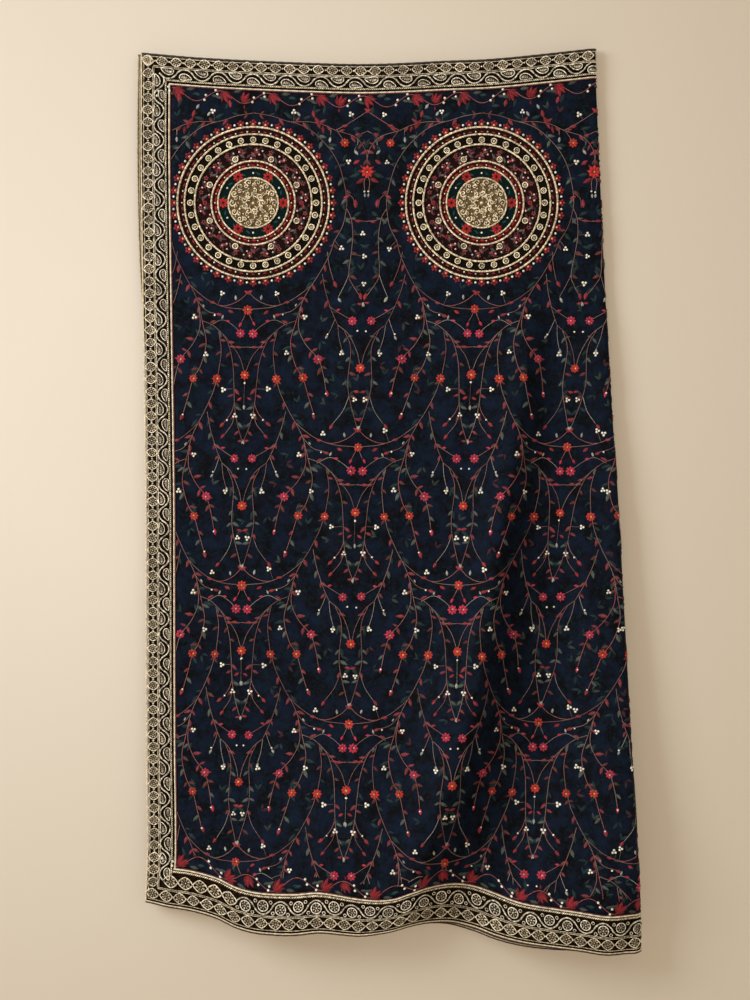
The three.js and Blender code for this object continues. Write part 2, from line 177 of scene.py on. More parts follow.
top_at = curve(TOP_EDGE, "x", "z")
left_at = curve(SIDES, "z", "left")
right_at = curve(SIDES, "z", "right")
hem_at = curve(HEM, "x", "z")
band_at = curve(HEM, "x", "band")
hem_out_at = curve(HEM, "x", "out")
lean_at = curve(RISE, "z", "lean")
fade_at = curve(RISE, "z", "fade")
turn_at = curve(RISE, "z", "turn")
back_lower_at = curve(BACK_HEM, "x", "lower")
hidden_past_at = curve(HIDDEN_END, "z", "past")
fold_line_at = curve(FOLD_LINE, "z", "x")
fold_strength_at = curve(FOLD_LINE, "z", "strength")
fold_width_at = curve(FOLD_LINE, "z", "wide")
fold_section_at = curve(FOLD_SECTION, "u", "rise")
line_at = [left_at] + [curve(PATTERN_LINES, "z", name) for name in ("first", "second", "third", "fourth")]


# ---------------------------------------------------------------- the cloth's form
def turn_start(z):
    return right_at(z) - turn_at(z)


def folds(x, z):
    """The main fold and the smaller creases."""
    out = fold_strength_at(z) * fold_section_at((x - fold_line_at(z)) / fold_width_at(z))
    for crease in CREASES:
        down = (z - crease["z"]) / crease["long"]
        aside = (x - crease["x"] - crease["lean"] * (z - crease["z"])) / crease["wide"]
        out = out + crease["out"] * np.exp(-aside**2 - down**2)
    return out


def puckers(x, z):
    """The worked cloth's own unevenness: soft creases down it and small cockles between the stitches."""
    creases = 1.3 * lattice_noise(x + 0.16 * z, z, 46, 3, 3.2)
    creases = creases + 0.75 * lattice_noise(x + 0.1 * z, z, 23, 4, 2.4)
    cockles = 0.6 * lattice_noise(x, z, 12, 5, 1.3)
    tension = 0.9 * lattice_noise(x, z, 150, 6)
    calm = np.ones_like(np.asarray(x, float))
    for centre in MEDALLION_CENTRES:
        away = np.hypot(x - centre, z - MEDALLION_HEIGHT)
        calm = calm * (0.3 + 0.7 * smooth((away - 80) / 40))
    calm = calm * (0.35 + 0.65 * smooth((top_at(x) - z - 20) / 60))
    return calm * (creases + cockles + tension)


def middle(x, z):
    """How far the middle of the stack stands off the wall."""
    out = WALL_GAP + STACK_HALF + fade_at(z) * hem_out_at(x - lean_at(z)) + folds(x, z) + puckers(x, z)
    nearest = half(x, z) + 1.8
    return nearest + 1.5 * np.logaddexp(0, (out - nearest) / 1.5)


def half(x, z):
    """Half the stack's thickness, which swells towards the turn."""
    swell = turn_at(z) - STACK_HALF
    return STACK_HALF + swell * smooth(1 - (turn_start(z) - x) / TURN_SWELLS_OVER)


def along_edge(table, x, level):
    """Where a place x of either leaf lies in an edge's table."""
    share = (x - left_at(level)) / (turn_start(level) - left_at(level))
    return table["x"][0] + (table["x"][-1] - table["x"][0]) * np.clip(share, 0, 1)


def top_of(x):
    """The top edge's height over a place x of either leaf."""
    return top_at(along_edge(TOP_EDGE, x, 0.0))


def hem_of(x):
    return hem_at(along_edge(HEM, x, HEM_LEVEL))


def band_of(x):
    """The hem's trimming is this many times as deep as it is flat."""
    return band_at(along_edge(HEM, x, HEM_LEVEL)) / HEM_BAND


def fold_x(run, z):
    """The x of a run, on the front leaf, on the turn (its start) or on the back leaf."""
    start, arc = turn_start(z), np.pi * turn_at(z)
    return np.where(run <= start, run, np.where(run < start + arc, start, 2 * start + arc - run))


def run_of_back(x, z):
    return 2 * turn_start(z) + np.pi * turn_at(z) - x


def roll_run(z):
    """The run at which the back leaf's left-hand fold starts."""
    return run_of_back(left_at(z) + LEFT_ROLL_IN + ROLL_RADIUS, z)


def place(run, z, lift):
    """A place on the cloth as points in metres."""
    run, z, lift = np.broadcast_arrays(*(np.asarray(v, float) for v in (run, z, lift)))
    inwards = FIELD_FACE - lift
    start, turn = turn_start(z), turn_at(z)
    arc = np.pi * turn
    x = fold_x(run, z)
    angle = np.clip((run - start) / turn, 0, np.pi)
    # the back leaf's hem hangs a little lower or higher than the front's
    depth = np.clip((top_of(x) - SIDE_TRIM - z) / (top_of(x) - SIDE_TRIM - hem_of(x) - HEM_BAND), 0, 1)
    z = z - back_lower_at(x) * depth * smooth(angle / np.pi)
    mid, thick = middle(x, z), half(x, z)
    reach = turn - inwards
    on_turn = (run > start) & (run < start + arc)
    behind = run >= start + arc
    rolled = run > roll_run(z)
    x_out = np.where(on_turn, start + reach * np.sin(angle), x)
    flat = np.where(behind, -1, 1) * (thick - inwards)
    depth_out = mid + np.where(on_turn, reach * np.cos(angle), flat)
    # the roll at the left of the back leaf, and the arm that it ends in
    past = run - roll_run(z)
    swing = np.clip(past / ROLL_RADIUS, 0, np.pi)
    arm = np.clip(past - np.pi * ROLL_RADIUS, 0, ROLL_ARM)
    roll_x = left_at(z) + LEFT_ROLL_IN + ROLL_RADIUS + arm
    tight = ROLL_RADIUS - np.maximum(inwards, 0)
    roll_mid = middle(roll_x, z) - STACK_HALF + ROLL_RADIUS
    x_out = np.where(rolled, roll_x - tight * np.sin(swing), x_out)
    depth_out = np.where(rolled, roll_mid - tight * np.cos(swing), depth_out)
    return np.stack([x_out, -depth_out, z], axis=-1) * MM


def pattern_run(step, z):
    """The run of a place counted in pattern steps from the left edge."""
    step, z = np.broadcast_arrays(np.asarray(step, float), np.asarray(z, float))
    lines = np.stack([at(z) for at in line_at])
    i = np.clip(np.floor(step).astype(int), 0, 3)
    inside = np.take_along_axis(lines, i[None], 0)[0]
    next_one = np.take_along_axis(lines, i[None] + 1, 0)[0]
    t = step - i
    near = inside + (next_one - inside) * t
    return np.where(step > 4, lines[4] + (step - 4) * STEP, near)


# ---------------------------------------------------------------- charts: (along, inwards) to (run, height)
def chart_field(a, b):
    return a, b


def chart_top(along, inwards):
    return along, top_of(fold_x(along, 0.0)) - inwards


def chart_hem(along, inwards):
    x = fold_x(along, HEM_LEVEL)
    return along, hem_of(x) + inwards * band_of(x)


def chart_left(along, inwards):
    """Down the left edge: `along` is the drop below z = 0."""
    return left_at(-along) + inwards, -along


CHARTS = dict(top=chart_top, hem=chart_hem, left=chart_left)


# ---------------------------------------------------------------- meshes
def new_mesh(name, points, faces, colours=None, stitch=None, smooth_shaded=True):
    """A mesh object from points in metres and arrays of faces, each array with one number of corners."""
    mesh = bpy.data.meshes.new(name)
    faces = [np.asarray(f, np.int32) for f in faces if len(f)]
    corners = np.concatenate([f.ravel() for f in faces])
    sizes = np.concatenate([np.full(len(f), f.shape[1], np.int32) for f in faces])
    mesh.vertices.add(len(points))
    mesh.vertices.foreach_set("co", np.asarray(points, np.float32).ravel())
    mesh.loops.add(len(corners))
    mesh.loops.foreach_set("vertex_index", corners)
    mesh.polygons.add(len(sizes))
    mesh.polygons.foreach_set("loop_start", np.concatenate([[0], np.cumsum(sizes)[:-1]]).astype(np.int32))
    mesh.polygons.foreach_set("use_smooth", np.full(len(sizes), smooth_shaded))
    mesh.update(calc_edges=True)
    if colours is not None:
        tint = mesh.attributes.new("tint", "FLOAT_COLOR", "POINT")
        rgba = np.ones((len(points), 4), np.float32)
        rgba[:, :3] = colours
        tint.data.foreach_set("color", rgba.ravel())
    if stitch is not None:
        thread = mesh.attributes.new("stitch", "FLOAT", "POINT")
        thread.data.foreach_set("value", np.asarray(stitch, np.float32))
    mesh.validate()
    obj = bpy.data.objects.new(name, mesh)
    bpy.context.scene.collection.objects.link(obj)
    return obj


def shell(run, z, lift_out, lift_in):
    """A sheet with thickness over a grid of places: points in metres and faces."""
    rows, cols = run.shape
    grid = np.arange(rows * cols).reshape(rows, cols)
    outer = place(run, z, lift_out).reshape(-1, 3)
    inner = place(run, z, lift_in).reshape(-1, 3)
    quads = np.stack([grid[:-1, :-1], grid[1:, :-1], grid[1:, 1:], grid[:-1, 1:]], -1).reshape(-1, 4)
    ring = np.concatenate([grid[0, :-1], grid[:-1, -1], grid[-1, :0:-1], grid[:0:-1, 0]])
    after = np.roll(ring, -1)
    rim = np.stack([ring, after, after + rows * cols, ring + rows * cols], -1)
    return np.concatenate([outer, inner]), [quads, quads[:, ::-1] + rows * cols, rim]


def cord_form(path, radius, tall, sides, closed):
    """A half-sunk round thread on a path: sideways points, lift, faces and the way gone along it."""
    path = np.asarray(path, float)
    n = len(path)
    ahead = np.roll(path, -1, 0) - np.roll(path, 1, 0) if closed else np.gradient(path, axis=0)
    ahead /= np.maximum(np.linalg.norm(ahead, axis=1, keepdims=True), 1e-9)
    side = np.stack([-ahead[:, 1], ahead[:, 0]], -1)
    radius = np.broadcast_to(np.asarray(radius, float), n)
    tall = radius if tall is None else np.broadcast_to(np.asarray(tall, float), n)
    turn = TAU * (np.arange(sides) + 0.5) / sides
    out = radius[:, None] * np.cos(turn)
    a = path[:, :1] + side[:, :1] * out
    b = path[:, 1:] + side[:, 1:] * out
    rise = tall[:, None] * (0.8 + np.sin(turn))
    ring = np.arange(n * sides).reshape(n, sides)
    far = np.roll(ring, -1, 0) if closed else ring[1:]
    near = ring if closed else ring[:-1]
    faces = [np.stack([near, np.roll(near, -1, 1), np.roll(far, -1, 1), far], -1).reshape(-1, 4)]
    if not closed:
        faces.append(np.stack([ring[0, ::-1], ring[-1]]))
    gone = np.concatenate([[0], np.cumsum(np.linalg.norm(np.diff(path, axis=0), axis=1))])
    return a, b, rise, faces, gone[:, None] + 0.4 * np.sin(turn)


# painted shade and highlight: a thread's tint is multiplied by the first of these, a painted shade, where it
# dives into the cloth and by the second, a painted highlight, on top
SOFT_PAINTED_SHADING = ((0.55, 0.55, 0.55), (1.17, 1.17, 1.17))
METAL_PAINTED_SHADING = ((0.20, 0.135, 0.06), (1.40, 1.42, 1.48))


class Pile:
    """A growing mesh of worked motifs, in places on the cloth."""

    def __init__(self):
        self.places, self.colours, self.stitches, self.faces, self.count = [], [], [], [], 0

    def take(self, run, z, lift, faces, colours, stitch):
        shape = np.shape(run)
        size = int(np.prod(shape))
        spot = [np.broadcast_to(v, shape).reshape(-1) for v in (run, z, lift)]
        self.places.append(np.stack(spot, -1))
        self.colours.append(np.broadcast_to(colours, (*shape, 3)).reshape(-1, 3))
        self.stitches.append(np.broadcast_to(stitch, shape).reshape(-1))
        for f in faces:
            self.faces.append(np.asarray(f) + self.count)
        self.count += size

    def motifs(self, template, at, angle, scale, colours, chart=chart_field, lift=0.0, shades=SOFT_PAINTED_SHADING):
        """Copies of a template, turned and scaled, at points of a chart."""
        at = np.atleast_2d(np.asarray(at, float))
        if not len(at):
            return
        n = len(at)
        points, faces, stitch = template
        angle = np.broadcast_to(np.asarray(angle, float), n)[:, None]
        scale = np.broadcast_to(np.asarray(scale, float), n)[:, None]
        x, y = points[:, 0] * scale, points[:, 1] * scale
        a = at[:, :1] + x * np.cos(angle) - y * np.sin(angle)
        b = at[:, 1:] + x * np.sin(angle) + y * np.cos(angle)
        run, z = chart(a, b)
        rise = points[:, 2] * np.sqrt(np.abs(scale)) + np.broadcast_to(np.asarray(lift, float), n)[:, None]
        # painted shade and highlight: each point's tint is darkened low in the template and lightened at its
        # top
        low, high = points[:, 2].min(), points[:, 2].max()
        height = (points[:, 2:] - low) / (high - low)
        shade = np.asarray(shades[0]) * (1 - height) + np.asarray(shades[1]) * height
        colours = np.broadcast_to(np.asarray(colours, float), (n, 3))[:, None, :] * shade
        base = np.arange(n)[:, None, None] * len(points)
        copies = [(np.asarray(f)[None] + base).reshape(-1, np.shape(f)[1]) for f in faces]
        self.take(run, z, rise, copies, colours, np.broadcast_to(stitch, run.shape))

    def cord(self, path, radius, colour, chart=chart_field, lift=0.0, sides=5, closed=False, height=None):
        """A round thread laid along a path of a chart; `radius` may change along it."""
        if len(path) < 2:
            return
        a, b, rise, faces, stitch = cord_form(path, radius, height, sides, closed)
        run, z = chart(a, b)
        self.take(run, z, lift + rise, faces, np.asarray(colour, float), stitch)

    def build(self, name, material, slot):
        spots = np.concatenate(self.places)
        points = place(spots[:, 0], spots[:, 1], spots[:, 2])
        groups = {}
        for f in self.faces:
            groups.setdefault(f.shape[1], []).append(f)
        faces = [np.concatenate(v) for _, v in sorted(groups.items())]
        obj = new_mesh(name, points, faces, np.concatenate(self.colours), np.concatenate(self.stitches))
        return finish_piece(obj, material, slot)


def finish_piece(obj, material, slot, *nodes):
    obj.data.materials.append(material)
    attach(obj, BODY)
    if nodes:
        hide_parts(*nodes)
    return obj


# ---------------------------------------------------------------- templates
# Each is its points, its faces and the way along the thread at each point.
def dome(radius, tall, around=8, rings=2, sink=0.3):
    """A round raised boss."""
    points = [(0, 0, tall)]
    for i in range(1, rings + 1):
        slope = (math.pi / 2) * i / rings
        for k in range(around):
            turn = TAU * k / around
            reach = radius * math.sin(slope)
            low = tall * math.cos(slope) - (sink if i == rings else 0)
            points.append((reach * math.cos(turn), reach * math.sin(turn), low))
    tris = [(0, 1 + k, 1 + (k + 1) % around) for k in range(around)]
    quads = []
    for i in range(rings - 1):
        a, b = 1 + i * around, 1 + (i + 1) * around
        quads += [(a + k, b + k, b + (k + 1) % around, a + (k + 1) % around) for k in range(around)]
    points = np.array(points)
    return points, [tris, quads] if quads else [tris], points[:, 0]


def leaf(length, width, tall, belly=0.42, steps=5, sink=0.3):
    """A pointed satin-stitched leaf along +x from its stalk, with a ridge down the middle."""
    points = []
    for i in range(steps + 1):
        t = i / steps
        reach = 0.5 * width * math.sin(math.pi * t ** (0.62 + belly * 0.5)) ** 0.85 if 0 < i < steps else 0.02
        ridge = tall * math.sin(math.pi * min(max(t, 0.06), 0.94)) ** 0.5
        points += [(t * length, reach, -sink), (t * length, reach * 0.5, 0.85 * ridge),
                   (t * length, -reach * 0.5, 0.85 * ridge), (t * length, -reach, -sink)]
    quads = []
    for i in range(steps):
        a, b = 4 * i, 4 * (i + 1)
        quads += [(a + k + 1, a + k, b + k, b + k + 1) for k in range(3)]
    points = np.array(points)
    return points, [quads], points[:, 0] + 0.7 * np.abs(points[:, 1])


def join(*parts):
    """Several templates as one; each may be given as (template, (x, y, lift), angle, scale)."""
    points, stitch, groups, count = [], [], {}, 0
    for (pts, faces, run), (x, y, up), angle, scale in parts:
        c, s = math.cos(angle) * scale, math.sin(angle) * scale
        a, b = pts[:, 0], pts[:, 1]
        points.append(np.stack([x + c * a - s * b, y + s * a + c * b, pts[:, 2] + up], -1))
        stitch.append(run)
        for f in faces:
            f = np.asarray(f)
            groups.setdefault(f.shape[1], []).append(f + count)
        count += len(pts)
    return np.concatenate(points), [np.concatenate(v) for v in groups.values()], np.concatenate(stitch)


def petals(count, inner, outer, width, tall, twist=0.0):
    petal = leaf(outer - inner, width, tall, belly=1.15, steps=4)
    ring = []
    for k in range(count):
        turn = TAU * k / count + twist
        ring.append((petal, (inner * math.cos(turn), inner * math.sin(turn), 0), turn, 1))
    return join(*ring)


BEAD = dome(1.0, 1.15, 7, 2)
SMALL_BEAD = dome(1.0, 1.1, 6, 2)
TINY_BEAD = dome(1.0, 0.9, 5, 1)
FLOWER = petals(8, 0.8, 5.4, 3.4, 0.75)
FLOWER_EYE = dome(1.55, 1.1, 8, 2)
LEAF = leaf(10.5, 4.5, 0.7)
BUD = leaf(8.2, 4.2, 0.85, belly=0.7)
THREE_BEADS = join(
    (BEAD, (0, 2.15, 0), 0, 1.95), (BEAD, (-1.95, -1.25, 0), 0, 1.95), (BEAD, (1.95, -1.25, 0), 0, 1.95)
)

# ---------------------------------------------------------------- thread colours (linear)
ORANGE = (0.43, 0.032, 0.021)
SCARLET = (0.240, 0.024, 0.031)
LEAF_RED = (0.180, 0.028, 0.034)
GARLAND_RED = (0.42, 0.022, 0.020)
DEEP_RED = (0.14, 0.009, 0.012)
RUST = (0.100, 0.024, 0.020)
CRIMSON = (0.41, 0.027, 0.060)
SAGE = (0.068, 0.083, 0.070)
GUARD_SAGE = (0.042, 0.052, 0.044)
PALE_TIP = (0.32, 0.335, 0.295)
TEAL = (0.008, 0.040, 0.038)
DEEP_TEAL = (0.0032, 0.0175, 0.0190)
WINE = (0.030, 0.007, 0.014)
COPPER = (0.210, 0.126, 0.110)
RUST_STEM = (0.170, 0.072, 0.070)
BRIGHT_STEM = (0.275, 0.080, 0.078)
PALE_STEM = (0.31, 0.28, 0.24)
YELLOW = (0.68, 0.25, 0.07)
PINK_EYE = (0.56, 0.22, 0.19)
CREAM = (0.80, 0.76, 0.61)
ZARI = (0.615, 0.525, 0.365)
SILVER_ZARI = (0.675, 0.605, 0.465)
PALE_GOLD = (0.76, 0.62, 0.41)
CREAM_GOLD = (0.80, 0.67, 0.45)


# ---------------------------------------------------------------- materials
class Shader:
    """A new material, with short ways to add nodes to it."""

    def __init__(self, name):
        self.material = bpy.data.materials.new(name)
        self.material.use_nodes = True
        self.nodes = self.material.node_tree.nodes
        self.link = self.material.node_tree.links.new
        self.bsdf = self.nodes["Principled BSDF"]
        self.coords = self.nodes.new("ShaderNodeTexCoord").outputs["Object"]

    def feed(self, node, values):
        """Sets a node's inputs, or links them to another's output."""
        for key, value in values.items():
            socket = node.inputs[key]
            if isinstance(value, bpy.types.NodeSocket):
                self.link(value, socket)
            else:
                socket.default_value = (*value, 1) if socket.type == "RGBA" else value
        return node

    def noise(self, scale, detail, roughness=0.5):
        values = {"Vector": self.coords, "Scale": scale, "Detail": detail, "Roughness": roughness}
        return self.feed(self.nodes.new("ShaderNodeTexNoise"), values).outputs["Fac"]

    def ramp(self, value, *stops):
        node = self.feed(self.nodes.new("ShaderNodeValToRGB"), {"Fac": value})
        elements = node.color_ramp.elements
        while len(elements) < len(stops):
            elements.new(0.5)
        for element, (position, colour) in zip(elements, stops):
            element.position = position
            element.color = (*colour, 1)
        return node.outputs["Color"]

    def calc(self, operation, *values):
        node = self.nodes.new("ShaderNodeMath")
        node.operation = operation
        return self.feed(node, dict(enumerate(values))).outputs["Value"]

    def mixed(self, kind, factor, a, b):
        node = self.nodes.new("ShaderNodeMix")
        node.data_type = "RGBA"
        node.blend_type = kind
        return self.feed(node, {"Factor": factor, "A": a, "B": b}).outputs["Result"]

    def attribute(self, name):
        node = self.nodes.new("ShaderNodeAttribute")
        node.attribute_name = name
        return node.outputs

    def stripes(self, axis, pitch):
        """Sine stripes across one axis of the object's own coordinates."""
        split = self.feed(self.nodes.new("ShaderNodeSeparateXYZ"), {"Vector": self.coords})
        return self.calc("SINE", self.calc("MULTIPLY", split.outputs[axis], TAU / (pitch * MM)))

    def bump(self, height, strength, distance):
        values = {"Strength": strength, "Distance": distance, "Height": height}
        node = self.feed(self.nodes.new("ShaderNodeBump"), values)
        self.feed(self.bsdf, {"Normal": node.outputs["Normal"]})

    def surface(self, colour, roughness, shine=0.5):
        """Sets the surface and gives the material."""
        self.feed(self.bsdf, {"Base Color": colour, "Roughness": roughness, "Specular IOR Level": shine})
        return self.material


def silk_ground(name, dark, light, hint_a, hint_b):
    """Plain-woven silk, mottled dark and light, partly its own uneven tone and partly painted sheen and shade
    of the puckered cloth, with the faint shades that rows of close stitching leave in it.
    """
    silk = Shader(name)
    mottle_and_painted_sheen = silk.ramp(silk.noise(60, 4, 0.65), (0.38, dark), (0.68, light))
    teal = silk.ramp(silk.noise(210, 2), (0.55, (0, 0, 0)), (0.68, (1, 1, 1)))
    wine = silk.ramp(silk.noise(160, 2, 0.6), (0.60, (0, 0, 0)), (0.72, (0.8, 0.8, 0.8)))
    weave = silk.calc("MULTIPLY", silk.stripes("X", 0.9), silk.stripes("Z", 0.9))
    silk.bump(silk.calc("ADD", silk.calc("MULTIPLY", weave, 0.10), silk.noise(130, 3)), 0.55, 0.0011)
    tinted = silk.mixed("MIX", teal, mottle_and_painted_sheen, hint_a)
    return silk.surface(silk.mixed("MIX", wine, tinted, hint_b), 0.75, 0.10)


def thread_material(name, roughness, metallic, shine, pitch, variety=0.35):
    """Thread laid side by side: the tint is the mesh's own, painted shade and highlight included, varied from
    stitch to stitch.
    """
    thread = Shader(name)
    uneven = thread.ramp(thread.noise(420, 2), (0.3, (1 - variety,) * 3), (0.7, (1 + variety,) * 3))
    way = thread.calc("MULTIPLY", thread.attribute("stitch")["Fac"], TAU / pitch)
    thread.bump(thread.calc("SINE", way), 0.5, 0.0003)
    thread.feed(thread.bsdf, {"Metallic": metallic})
    tint = thread.attribute("tint")["Color"]
    return thread.surface(thread.mixed("MULTIPLY", 1.0, tint, uneven), roughness, shine)


def border_ground():
    ground = Shader("border_ground")
    ground.bump(ground.noise(900, 2), 0.6, 0.0005)
    mottled = ground.ramp(ground.noise(300, 3), (0.38, (0.006, 0.0026, 0.0006)),
                          (0.62, (0.015, 0.0072, 0.0020)), (0.80, (0.055, 0.032, 0.010)))
    return ground.surface(mottled, 0.85, 0.03)


def wall_material():
    """The backdrop, seen by the camera from its front only, so that the cloth's back can be looked at too.
    Its colour is a painted pool of light, darker away from a point at the upper left, and it glows a little
    to lighten the shadow on it.
    """
    wall = Shader("plain_wall")
    # painted light: the wall's colour darkens, unevenly, with the distance from a point at the upper left
    away = wall.nodes.new("ShaderNodeVectorMath")
    away.operation = "DISTANCE"
    wall.feed(away, {0: wall.coords, 1: WALL_PAINTED_LIGHT_CENTRE})
    fade = wall.calc("ADD", wall.calc("SUBTRACT", away.outputs["Value"], 0.06),
                     wall.calc("MULTIPLY", 0.12, wall.noise(1.6, 3)))
    wall.bump(wall.noise(9, 5), 0.15, 0.004)
    wall.feed(wall.bsdf, {"Emission Color": WALL_GLOW, "Emission Strength": 1.0})
    seen = wall.nodes.new("ShaderNodeLightPath").outputs["Is Camera Ray"]
    back = wall.nodes.new("ShaderNodeNewGeometry").outputs["Backfacing"]
    front = wall.calc("MULTIPLY", seen, wall.calc("SUBTRACT", 1.0, back))
    clear = wall.nodes.new("ShaderNodeBsdfTransparent").outputs["BSDF"]
    choose = wall.nodes.new("ShaderNodeMixShader")
    wall.feed(choose, {"Fac": front, 1: clear, 2: wall.bsdf.outputs["BSDF"]})
    wall.feed(wall.nodes["Material Output"], {"Surface": choose.outputs["Shader"]})
    return wall.surface(wall.ramp(fade, (0.2, WALL_PAINTED_LIT_TONE), (0.95, WALL_PAINTED_FALLOFF_TONE)), 0.9)


# painted light on the wall: its tone where the painted light is strongest and where it has fallen off
WALL_PAINTED_LIT_TONE = (0.612, 0.570, 0.500)
WALL_PAINTED_FALLOFF_TONE = (0.440, 0.405, 0.335)
WALL_GLOW = (0.19, 0.137, 0.085)  # softens the shadow on it
WALL_PAINTED_LIGHT_CENTRE = (-0.27, 0.0, -0.45)
NAVY = silk_ground("navy_silk", (0.0008, 0.0010, 0.0022), (0.0034, 0.0098, 0.0285),
                   (0.0020, 0.0115, 0.0145), (0.0110, 0.0040, 0.0100))
BROCADE = border_ground()
SILK_THREAD = thread_material("silk_thread", 0.55, 0.0, 0.25, 0.9)
STEM_THREAD = thread_material("stem_thread", 0.6, 0.0, 0.2, 1.2)
# the metal thread's tint varies much more from stitch to stitch: uneven tone with painted glints
METAL_THREAD = thread_material("metal_thread", 0.4, 0.3, 0.5, 0.8, 0.75)
MATT_SILK = thread_material("matt_silk", 0.85, 0.0, 0.05, 0.9)
GOLD_CORD = thread_material("gold_cord", 0.45, 0.2, 0.5, 1.6)
BEADS = thread_material("beads", 0.25, 0.0, 0.5, 5.0, 0.12)


# ---------------------------------------------------------------- cloth
# the flat cut, in metres: one leaf of the four, and the strips sewn along its edges
SIDE_STRIP, HEM_STRIP = 0.032, 0.044
# in millimetres: about where the field and the whole cloth start and how tall they are, which is what the
# heights of their grids start from; each round brings these closer to the edges
FIELD_TOP, FIELD_TALL = -38, 1010
CLOTH_TOP, CLOTH_TALL = 8, 1120
ROUNDS = 3
GRID_TALL, GRID_WIDE = 1040, 640  # a leaf's field, over which steps are counted
HIDDEN_GRID = (56, 140)


def spread(low, high, step):
    """Places from low to high, about a step apart."""
    return np.linspace(low, high, max(2, int(round((high - low) / step)) + 1))


def row_at(along, inwards):
    """A row of places on an edge's chart, all as far in."""
    return np.stack([along, np.full_like(along, inwards)], -1)


def unit_grid(rows, columns):
    """How far down and how far along each place of a grid is, from 0 to 1."""
    return np.meshgrid(np.linspace(0, 1, rows), np.linspace(0, 1, columns), indexing="ij")


def leaf_grid(front, step):
    """Places over the field of the front leaf with its turn, or of the back leaf with its roll."""
    t, s = unit_grid(int(GRID_TALL / step) + 1, int(GRID_WIDE / step) + 1)
    z = FIELD_TOP - FIELD_TALL * t
    for _ in range(ROUNDS):
        ends = run_ends(front, z)
        run = ends[0] + (ends[1] - ends[0]) * s
        x = fold_x(run, z)
        z = (top_of(x) - SIDE_TRIM) * (1 - t) + (hem_of(x) + HEM_BAND * band_of(x)) * t
    return run, z


def run_ends(front, z, left_trim=SIDE_TRIM):
    """Where a leaf's field starts and ends."""
    turned = turn_start(z) + np.pi * turn_at(z)
    if front:
        return left_at(z) + left_trim, turned
    return turned + SEAM, roll_run(z) + np.pi * ROLL_RADIUS + ROLL_ARM


def strip_grid(edge, front, low, high, step, mitre=False):
    """Places over a strip along the top or the hem, `low` to `high` in from the edge."""
    inwards = np.linspace(low, high, 3 if high - low < 10 else 9)
    level = 0.0 if edge == "top" else HEM_LEVEL
    start, end = run_ends(front, level, 0.0)
    t = np.linspace(0, 1, int((end - start) / step) + 1)
    first = start + (side_at_mitre(edge, inwards) + SEAM if mitre else np.zeros_like(inwards))
    along = first[:, None] + (end - first[:, None]) * t[None]
    return CHARTS[edge](along, np.broadcast_to(inwards[:, None], along.shape))


def side_at_mitre(edge, d):
    """The hem's border is deeper than the side's, so the mitre runs through places in proportion."""
    d = np.asarray(d, float)
    if edge == "top":
        return d
    cord = EDGE_CORD + SEAM
    inner = cord + (d - EDGE_CORD - SEAM) * (SIDE_BORDER - EDGE_CORD - SEAM) / (HEM_BORDER - EDGE_CORD - SEAM)
    return np.where(d <= cord, d, np.where(d > HEM_BORDER, d - HEM_BORDER + SIDE_BORDER, inner))


def hem_depth(inwards):
    """How deep the hem's trimming is where the side's is `inwards` wide."""
    cord = EDGE_CORD + SEAM
    return np.interp(inwards, [0, cord, SIDE_BORDER, SIDE_TRIM], [0, cord, HEM_BORDER, HEM_BAND])


def left_strip_grid(low, high, step):
    """Places down the left edge between the two mitres."""
    inwards = np.linspace(low, high, 3 if high - low < 10 else 7)
    x = left_at(SIDE_LEVEL) + inwards
    first = -(top_of(x) - inwards - SEAM)
    last = -(hem_of(x) + hem_depth(inwards) * band_of(x) + SEAM)
    t = np.linspace(0, 1, int(1060 / step) + 1)
    along = first[:, None] + (last - first)[:, None] * t[None]
    return chart_left(along, np.broadcast_to(inwards[:, None], along.shape))


def cloth_piece(name, grid, lift_out, material, slot, node):
    points, faces = shell(*grid, lift_out, FIELD_FACE - LEAF_INSIDE)
    piece = finish_piece(new_mesh(name, points, faces), material, slot, node)
    return piece


def make_cloth():
    cloth_piece("cloth_front", leaf_grid(True, 5.0), 0.0, NAVY, "field", "field_front")
    cloth_piece("cloth_back", leaf_grid(False, 8.0), 0.0, NAVY, "field", "field_back")
    hidden_cloth()
    low = EDGE_CORD + SEAM
    cloth_piece("ground_left", left_strip_grid(low, SIDE_BORDER, 6), FIELD_FACE, BROCADE, "border",
                "border_left")
    for side, is_front in (("front", True), ("back", False)):
        for edge, deep, strip in (("top", SIDE_BORDER, SIDE_STRIP), ("hem", HEM_BORDER, HEM_STRIP)):
            grid = strip_grid(edge, is_front, low, deep, 5.0, mitre=is_front)
            cloth_piece(f"ground_{edge}_{side}", grid, FIELD_FACE, BROCADE, "border",
                        f"border_{edge}_{side}")


def hidden_cloth():
    """The two hidden leaves: one stretch of the cloth, folded inside the turn."""
    t, s = unit_grid(*HIDDEN_GRID)
    z = CLOTH_TOP - CLOTH_TALL * t
    for _ in range(ROUNDS):
        start = left_at(z) - hidden_past_at(z)
        end = run_of_back(left_at(z) + LEFT_ROLL_IN + ROLL_RADIUS + ROLL_ARM + 2 * SEAM, z)
        run = start + (end - start) * s
        x = fold_x(run, z)
        z = (top_of(x) - HIDDEN_TOP) * (1 - t) + (hem_of(x) + HIDDEN_HEM) * t
    face = FIELD_FACE - CORE_FACE
    points, faces = shell(run, z, face, face - 1.2)
    piece = finish_piece(new_mesh("cloth_hidden", points, faces), NAVY, "field", "hidden_leaves")


